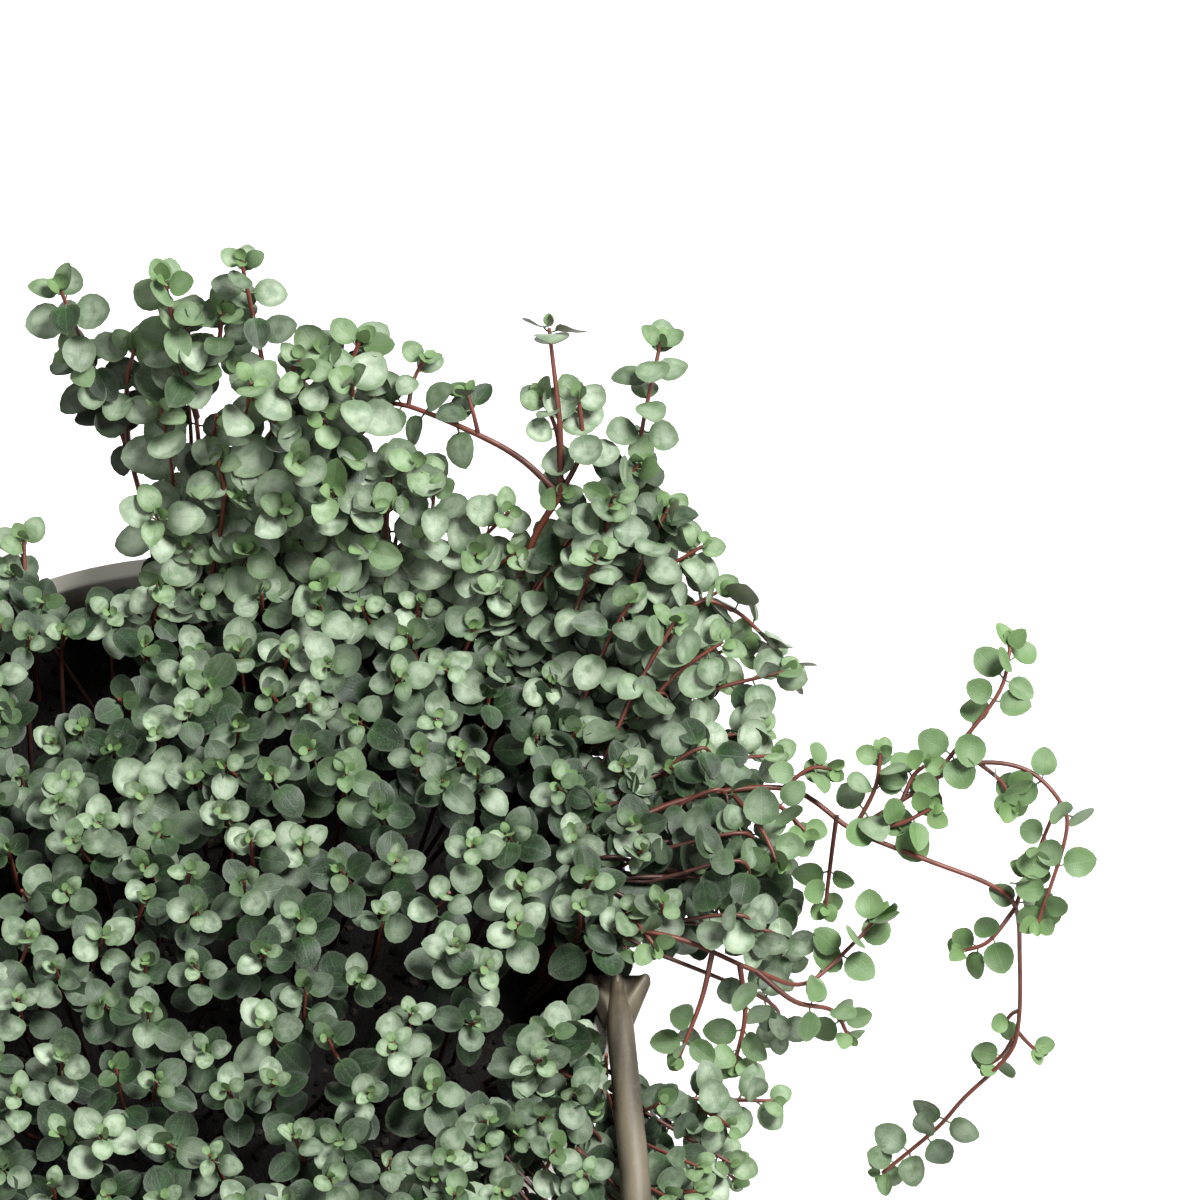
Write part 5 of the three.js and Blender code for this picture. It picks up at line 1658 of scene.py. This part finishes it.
@dataclass
class Mat:
    """The dense mass of small stems and leaves over the pot, cut into a middle and five outer pieces."""

    hanger: Hanger
    canopy: tuple = ((0, 20), (26, 21), (52, 18), (74, 14), (90, 6), (99, -6), (99, -22))
    spacing: float = 10.9
    scatter: float = 3.0
    mounds: float = 5.0
    reach_mean: float = 100.0
    reach_right: float = 8.0
    reach_turn: float = 0.3
    reach_back: float = 9.0
    back: tuple = (math.radians(58), math.radians(132), 84.0)
    clearings: tuple = ((-20, 68, 6), (-22, 45, 8.5), (66, -10, 4), (-36, -7, 5), (11, -56, 4), (35, 66, 5))
    covers: tuple = (Cover(-84.0, 46.0, 4.3, (71, 83), (6, 12), 0.5, 0.8),
                     Cover(-64.0, -16.0, 4.0, (86, 92), (-13, -5), 0.8, 0.6))
    leaf: float = 6.3
    leaf_range: tuple = (0.86, 1.12)
    pairs_gap: float = 4.2
    leafy: tuple = (8, 16)
    habit: PairHabit = PairHabit((0.3, 0.56, 0.84, 0.97, 1.0), (0.8, 1.5, 2.5, 3.6, 4.8), upward=0.6, jitter=20.0,
                                 depth_shade=0.07, aging=0.19)
    hanging_from: float = 84.0
    hanging_leaf: float = 0.88
    hanging_gap: float = 4.6
    hanging_leafy: tuple = (18, 28)
    hanging_habit: PairHabit = PairHabit((0.35, 0.6, 0.85, 1.0), (0.9, 1.7, 2.7, 3.8), upward=0.4, jitter=24.0,
                                         depth_shade=0.032, aging=0.13)
    lean_spread: float = 0.36
    stem_girth: tuple = (0.55, 0.36)
    stem_ages: tuple = (1.1, 0.75)
    upper_leaves: int = 6
    middle: float = 54.0
    outer_pieces: int = 5
    seed: int = 21
    dropped: int = 0

    def reach(self, angle: float) -> float:
        """How far out the mat goes in a direction."""
        lean = self.reach_right * math.cos(angle + self.reach_turn)
        return self.reach_mean + lean - self.reach_back * max(0.0, math.sin(angle))

    def place(self, distance: float, angle: float) -> tuple[Vector, Vector]:
        """A point of the upper surface, in millimetres above the rim, and the way that it faces.

        Args:
            distance: The distance from the middle along the surface.
            angle: The direction from the middle.

        Returns:
            The point and the direction.
        """
        left, index = distance, 0
        spans = [math.dist(a, b) for a, b in zip(self.canopy, self.canopy[1:])]
        while index < len(spans) - 1 and left > spans[index]:
            left -= spans[index]
            index += 1
        (r0, z0), (r1, z1) = self.canopy[index], self.canopy[index + 1]
        share = left / spans[index]
        radius = blend(r0, r1, share) * self.reach(angle) / self.canopy[-1][0]
        slope = math.atan2(z0 - z1, r1 - r0)
        facing = polar(math.sin(slope), angle, math.cos(slope))
        point = polar(radius, angle, blend(z0, z1, share))
        point.z += self.mounds * noise.noise(Vector((point.x, point.y, 3.0)) / 22)
        return point, facing

    def places(self, rand: random.Random) -> list[tuple[Vector, Vector]]:
        """Where leafy tips stand: rings along the surface, an even distance apart, each a little shifted.

        Args:
            rand: Gives the small differences.

        Returns:
            Each tip, in millimetres above the rim, and its direction.
        """
        whole = sum(math.dist(a, b) for a, b in zip(self.canopy, self.canopy[1:]))
        rows = round(whole / self.spacing)
        found = []
        for row in range(rows + 1):
            distance = whole * row / rows
            radius = max(1.0, math.hypot(*self.place(distance, 0.0)[0].xy))
            count = max(1, round(math.tau * radius / self.spacing))
            for i in range(count):
                angle = math.tau * (i + row * 0.37) / count + rand.uniform(-1, 1) * self.scatter / radius
                shifted = min(whole, max(0.0, distance + rand.uniform(-1, 1) * self.scatter))
                point, facing = self.place(shifted, angle)
                if not self.is_bare(point):
                    found.append((point, facing))
        for cover in self.covers:
            found += cover.tips(rand)
        return found

    def is_bare(self, point: Vector) -> bool:
        """Whether a point lies in a clearing or behind the pot's far edge.

        Args:
            point: The point, in millimetres.

        Returns:
            Whether it is bare there.
        """
        start, end, reach = self.back
        at_back = start < math.atan2(point.y, point.x) < end and math.hypot(point.x, point.y) > reach
        return at_back or any(math.dist((x, y), point.xy) < radius for x, y, radius in self.clearings)

    def stem_points(self, tip: Vector, facing: Vector, rand: random.Random, under: bool) -> list[Vector]:
        """The path of a stem from the soil to its tip, over the rim and, where asked, under the hanger's arm.

        Args:
            tip: The tip, in millimetres above the rim.
            facing: The way that the tip points.
            rand: Gives the small differences.
            under: Whether the stem runs under the hanger's arm.

        Returns:
            The points of the path, in millimetres above the rim.
        """
        radius, angle = math.hypot(tip.x, tip.y), math.atan2(tip.y, tip.x)
        turn = angle + rand.uniform(-0.12, 0.12)
        below = tip - (facing + UP * 0.4).normalized() * 11
        if radius < 74:
            foot = polar(radius * 0.86, turn, -15.0)
            return [foot, foot.lerp(below, 0.55), below, tip]
        foot = polar(rand.uniform(58, 68), turn, -15.0)
        over = polar(rand.uniform(73, 76), blend(turn, angle, 0.5), rand.uniform(4.5, 8.0))
        out = polar(min(84, radius - 4), angle, max(rand.uniform(3.0, 7.0), below.z + 4))
        if under:
            over, out = polar(76.5, blend(turn, angle, 0.5), 2.6), polar(81.5, angle, 1.6)
            return [foot, over, out, polar(min(88, radius - 3), angle, -3.2), tip]
        if tip.z > 2:
            return [foot, over, below if math.hypot(below.x, below.y) > 80 else out, tip]
        return [foot, over, out, polar(radius - 2, angle, tip.z + 12), tip]

    def clear_of_hanger(self, point: Vector, stem: bool) -> bool:
        """Whether a point of a stem or leaf, in metres, is clear of the hanger and doesn't hide its right arm.

        Args:
            point: The point.
            stem: Whether it is a point of a stem.

        Returns:
            Whether it is clear.
        """
        room, seen, under = (3.0 * MM, 2.2 * MM, 2.0 * MM) if stem else (3.4 * MM, 4.9 * MM, 3.4 * MM)
        for side in (1.0, -1.0):
            for spot in self.wire[side, stem]:
                apart = point - spot
                above = apart.dot(VIEWWARD)
                beside = (apart - VIEWWARD * above).length
                if apart.length < room or (beside < seen and -under < above < (under if side < 0 else 1.0)):
                    return False
        return True

    def clear_of_pot(self, point: Vector) -> bool:
        """Whether a point, in metres, is away from the pot's wall and above the soil.

        Args:
            point: The point.

        Returns:
            Whether it is clear.
        """
        radius, height = math.hypot(point.x, point.y) / MM, (point.z - RIM) / MM
        above_soil = radius < 75 and height > -11
        beyond_wall = radius > 83 - max(0.0, -height) * 0.15
        return above_soil or height > 3 or beyond_wall

    def is_clear(self, leaf: LeafPlace) -> bool:
        """Whether a leaf keeps away from the hanger, the pot and the glimpses between the leaves."""
        return (self.clear_of_pot(leaf.middle) and self.clear_of_hanger(leaf.middle, False)
                and not closes_a_glimpse(leaf.middle))

    def piece_of(self, tip: Vector) -> int:
        """The piece that a tip belongs to: 0 for the middle, else one of the outer ones.

        Args:
            tip: The tip, in millimetres.

        Returns:
            The piece's number.
        """
        if math.hypot(tip.x, tip.y) < self.middle:
            return 0
        turn = math.atan2(tip.y, tip.x) % math.tau
        return 1 + int(turn / math.tau * self.outer_pieces)

    def grow(self) -> list[Greenery]:
        """Sets all the mat's stems and leaves, piece by piece.

        Returns:
            The pieces, the middle one first.
        """
        rand = random.Random(self.seed)
        self.wire = {(side, stem): self.hanger.guarded(side, stem) for side in (1.0, -1.0) for stem in (True, False)}
        names = ["mat_middle", *(f"mat_outer_part_{i + 1}" for i in range(self.outer_pieces))]
        pieces = [Greenery(name, self.seed + i) for i, name in enumerate(names)]
        for tip, facing in self.places(rand):
            if not self.add_spray(pieces[self.piece_of(tip)], tip, facing, rand):
                self.dropped += 1
        for greenery in pieces:
            kept = [leaf for leaf in greenery.leaves if self.is_clear(leaf)]
            self.dropped += len(greenery.leaves) - len(kept)
            greenery.leaves = kept
        log.info("mat: %d leaves, %d stems or leaves left out", sum(len(g.leaves) for g in pieces), self.dropped)
        return pieces

    def add_spray(self, greenery: Greenery, tip: Vector, facing: Vector, rand: random.Random) -> bool:
        """Adds one stem with its leaves, unless the hanger or a glimpse is in its way.

        Args:
            greenery: The piece that the spray belongs to.
            tip: Its tip, in millimetres above the rim.
            facing: The way that the mat faces there.
            rand: Gives the small differences.

        Returns:
            Whether there was room for it.
        """
        lift = 0.15 if tip.z < -4 else 0.5
        axis = facing + Vector((rand.gauss(0, self.lean_spread), rand.gauss(0, self.lean_spread), lift))
        for under in (False, True):
            path = StemPath([above_rim(point) for point in self.stem_points(tip, axis.normalized(), rand, under)])
            if all(self.clear_of_hanger(point, True) and not closes_a_glimpse(point, (RIM_GLIMPSE,))
                   for point in path.points):
                break
        else:
            return False
        thick, thin = self.stem_girth
        greenery.stem(path, thick * MM, thin * MM, *self.stem_ages)
        size = self.leaf * rand.uniform(*self.leaf_range)
        first = len(greenery.leaves)
        if math.hypot(tip.x, tip.y) > self.hanging_from:
            bare = path.length - rand.uniform(*self.hanging_leafy) * MM
            greenery.pairs(path, size * self.hanging_leaf * MM, self.hanging_gap * MM, bare, self.hanging_habit)
        else:
            bare = path.length - rand.uniform(*self.leafy) * MM
            greenery.pairs(path, size * MM, self.pairs_gap * MM, bare, self.habit)
        if any(self.is_clear(leaf) for leaf in greenery.leaves[first:first + self.upper_leaves]):
            return True
        del greenery.leaves[first:]
        greenery.stems.pop()
        return False

    def nodes(self, index: int) -> list[str]:
        """The solids that a piece stands for.

        Args:
            index: The piece's number.

        Returns:
            The solids' names.
        """
        if index == 0:
            return ["mat_centre", *(f"mat_inner_{i + 1}" for i in range(5))]
        return [f"mat_outer_{2 * index - 1}", f"mat_outer_{2 * index}"]


@dataclass
class Thicket:
    """The close leafy tips that rise behind the pot's far rim, as they are seen from the photo's angle."""

    region: tuple = ((-9, 62), (-12, 84), (-17, 90), (-15, 97), (-4, 97), (-3, 103), (4, 104), (8, 105), (14, 105),
                     (18, 103), (29, 104), (31, 97), (35, 92), (39, 89), (45, 84), (52, 79), (60, 74), (67, 74),
                     (73, 87), (77, 90), (93, 89), (96, 78), (98, 67), (103, 59), (108, 52), (111, 41), (113, 30),
                     (113, 18), (98, 18), (88, 40), (80, 60))
    spacing: float = 10.2
    nearest: float = 64.0
    level: float = 62.0
    lowest: float = 20.0
    slant: float = 0.6
    low_slant: float = 0.95
    shift: float = 2.5
    leaf: float = 7.6
    leaf_range: tuple = (0.88, 1.1)
    right_leaf: float = 0.88
    right_from: float = 50.0
    gap: float = 5.8
    leafy: tuple = (12, 22)
    most_leafy: float = 0.65
    stem_girth: tuple = (0.6, 0.36)
    # Past the oldest stem colour: the lower stems get old stems' dark brown, partly their own and partly painted shade
    # low in the thicket.
    oldest: float = 1.4
    habit: PairHabit = PairHabit(upward=0.6, jitter=20.0, depth_shade=0.012, aging=0.13, tone=0.86)
    seed: int = 77

    def covers(self, across: float, up: float) -> bool:
        """Whether a point of the view lies in the region.

        Args:
            across: Millimetres right of the middle.
            up: Millimetres up in the view.

        Returns:
            Whether it does.
        """
        inside = False
        for (x0, y0), (x1, y1) in zip(self.region, (*self.region[1:], self.region[0])):
            if (y0 > up) != (y1 > up) and across < x0 + (x1 - x0) * (up - y0) / (y1 - y0):
                inside = not inside
        return inside

    def tips(self, rand: random.Random) -> list[Vector]:
        """The tips, in millimetres above the rim.

        Args:
            rand: Gives the small differences.

        Returns:
            The tips.
        """
        found = []
        for row in range(12):
            for column in range(-3, 14):
                across = (column + 0.5 * (row % 2)) * self.spacing + rand.uniform(-self.shift, self.shift)
                up = self.lowest + row * self.spacing * 0.8 + rand.uniform(-self.shift, self.shift)
                if self.covers(across, up):
                    slant = self.slant if up > self.level else self.low_slant
                    depth = self.nearest + (up - self.level) * slant + rand.uniform(-3, 3)
                    found.append(Vector((across, depth, (up + depth * -VIEWWARD.z) / -VIEWWARD.y)))
        return found

    def grow(self, shoots: dict[str, Greenery], ends: dict[str, Vector]) -> None:
        """Adds each tip and its stem to the shoot whose own tip is nearest.

        Args:
            shoots: The shoots, by name.
            ends: The tips of the shoots that rise at the back, by name.
        """
        rand = random.Random(self.seed)
        thick, thin = self.stem_girth
        for tip in self.tips(rand):
            name = min(ends, key=lambda each: (ends[each] - tip).length)
            angle, radius = math.atan2(tip.y, tip.x), math.hypot(tip.x, tip.y)
            foot = polar(rand.uniform(57, 66), angle + rand.uniform(-0.06, 0.06), -16)
            knee = polar(min(radius - 2, rand.uniform(70, 76)), angle, 5)
            bend = knee.lerp(tip, 0.55) + Vector((rand.uniform(-2, 2), 3, 0))
            path = StemPath([above_rim(point) for point in (foot, knee, bend, tip)])
            if any(closes_a_glimpse(point) for point in path.points):
                continue
            shoots[name].stem(path, thick * MM, thin * MM, self.oldest)
            share = 1.0 if tip.x < self.right_from else self.right_leaf
            size = self.leaf * rand.uniform(*self.leaf_range) * share * MM
            leafy = rand.uniform(*self.leafy) * MM + max(0, tip.x - 45) * 0.45 * MM
            bare = path.length - min(leafy, path.length * self.most_leafy)
            shoots[name].pairs(path, size, self.gap * MM, bare, self.habit)


# --- studio and plant


@dataclass
class Studio:
    """A pale floor, soft light from above and the photo's point of view."""

    effects: Effects
    target: Vector = Vector((0.0744, 0.0636, 0.128))
    distance: float = 3.0
    frame_width: float = 0.2222
    sensor: float = 36.0
    far_end: float = 20.0
    floor_size: float = 8.0
    room_light: float = 0.26
    lamps: tuple = (("key", (0.85, 0.2, 1.6), 0.75, 62.0), ("fill", (-0.9, -0.6, 1.4), 1.2, 8.0))

    def build(self) -> None:
        """Sets floor, light and camera."""
        scene = bpy.context.scene
        scene.view_settings.view_transform = "Standard"
        bpy.ops.mesh.primitive_plane_add(size=self.floor_size)
        floor = bpy.context.object
        floor.name = "floor"
        floor.data.materials.append(FloorFinish("pale_floor", self.effects).build())
        floor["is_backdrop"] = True
        scene.world = bpy.data.worlds.new("soft_room")
        scene.world.use_nodes = True
        room = Wiring(scene.world.node_tree)
        room.feed(room.tree.nodes["Background"], {0: (1, 1, 1, 1), 1: self.room_light})
        for lamp in self.lamps:
            self.light(*lamp)
        data = bpy.data.cameras.new("camera")
        data.type, data.sensor_width = "PERSP", self.sensor
        data.lens = self.sensor * self.distance / self.frame_width
        data.clip_end = self.far_end
        camera = bpy.data.objects.new("camera", data)
        camera.location = self.target + VIEWWARD * self.distance
        camera.rotation_euler = VIEWWARD.to_track_quat("Z", "Y").to_euler()
        scene.collection.objects.link(camera)
        scene.camera = camera

    def light(self, name: str, place: tuple, size: float, power: float) -> None:
        """Adds one large soft light aimed at the plant.

        Args:
            name: The light's name.
            place: Where it hangs, in metres.
            size: How wide it is, in metres.
            power: Its power, in watts.
        """
        data = bpy.data.lights.new(name, "AREA")
        data.shape, data.size, data.energy = "DISK", size, power
        lamp = bpy.data.objects.new(name, data)
        lamp.location = place
        lamp.rotation_euler = (Vector(place) - self.target).to_track_quat("Z", "Y").to_euler()
        bpy.context.scene.collection.objects.link(lamp)


class PottedPilea:
    """The whole plant with its pot, built in order."""

    def __init__(self, effects: Effects) -> None:
        """Makes the plant's finishes, its kinds of leaf and the shared growth tree.

        Args:
            effects: The shared shader groups.
        """
        self.effects = effects
        self.leaf_finish = LeafFinish("silver_leaf", effects).build()
        self.stem_finish = StemFinish("red_stem", effects).build()
        self.growth = make_leafy_tree()
        self.kinds = bpy.data.collections.new("leaf_kinds")
        for kind in LeafKind:
            LeafShape().build(kind, self.kinds)

    def finish_greenery(self, greenery: Greenery, slot: str, nodes: list[str], tilt: float = 0.3) -> None:
        """Grows one piece of greenery into a plain mesh, its leaves tilted at random by up to an angle.

        Args:
            greenery: The stems and leaves.
            slot: The finish's slot.
            nodes: The solids that the piece stands for.
            tilt: The angle, in radians.
        """
        values = {"Leaf kinds": self.kinds, "Leaf finish": self.leaf_finish, "Stem finish": self.stem_finish,
                  "Stem sides": 5, "Length spread": 0.06, "Tilt spread": tilt, "Seed": greenery.seed}
        piece = self.growth.apply(greenery.source(), f"{greenery.name}_greenery", values)
        settle(piece, slot, *nodes)

    def build(self) -> None:
        """Builds pot, soil, hanger, shoots and mat."""
        pot = Pot()
        hanger = Hanger(pot)
        pot.build(PlasticFinish("pot_plastic", self.effects, edge=0.8).build())
        Soil(pot).build(SoilFinish("potting_mix", self.effects).build(), make_scatter_tree())
        wire = PlasticFinish("hanger_plastic", self.effects, body=srgb(92, 82, 64), shade=srgb(38, 29, 19),
                             worn=srgb(156, 150, 128), roughness=0.55, cloud=300.0, edge=0.75, speck=0.05, stretch=0.16)
        hanger.build(wire.build())
        shoots = {shoot.name: shoot.grow(100 + index) for index, shoot in enumerate(SHOOTS)}
        ends = {shoot.name: Vector(shoot.branches[0].path[-1]) for shoot in SHOOTS if shoot.at_back}
        Thicket().grow(shoots, ends)
        for name, greenery in shoots.items():
            self.finish_greenery(greenery, "shoot", [name], 0.42)
        mat = Mat(hanger)
        for index, greenery in enumerate(mat.grow()):
            self.finish_greenery(greenery, "mat", mat.nodes(index), 0.3 if index == 0 else 0.4)


def note_size(moment: str, sizes: dict) -> None:
    """Args:
        moment: What is being built at that moment.
        sizes: The bounds noted so far; the new ones are added.
    """
    sizes[moment] = [[round(value, 6) for value in corner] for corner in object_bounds()]


def main() -> None:
    """Builds the plant and its studio."""
    logging.basicConfig(level=logging.INFO, format="%(name)s: %(message)s")
    sizes: dict = {}
    note_size("after_load", sizes)
    effects = Effects(make_mottle_group(), make_grain_group())
    PottedPilea(effects).build()
    Studio(effects).build()
    note_size("before_finish", sizes)


if __name__ == "__main__":
    main()
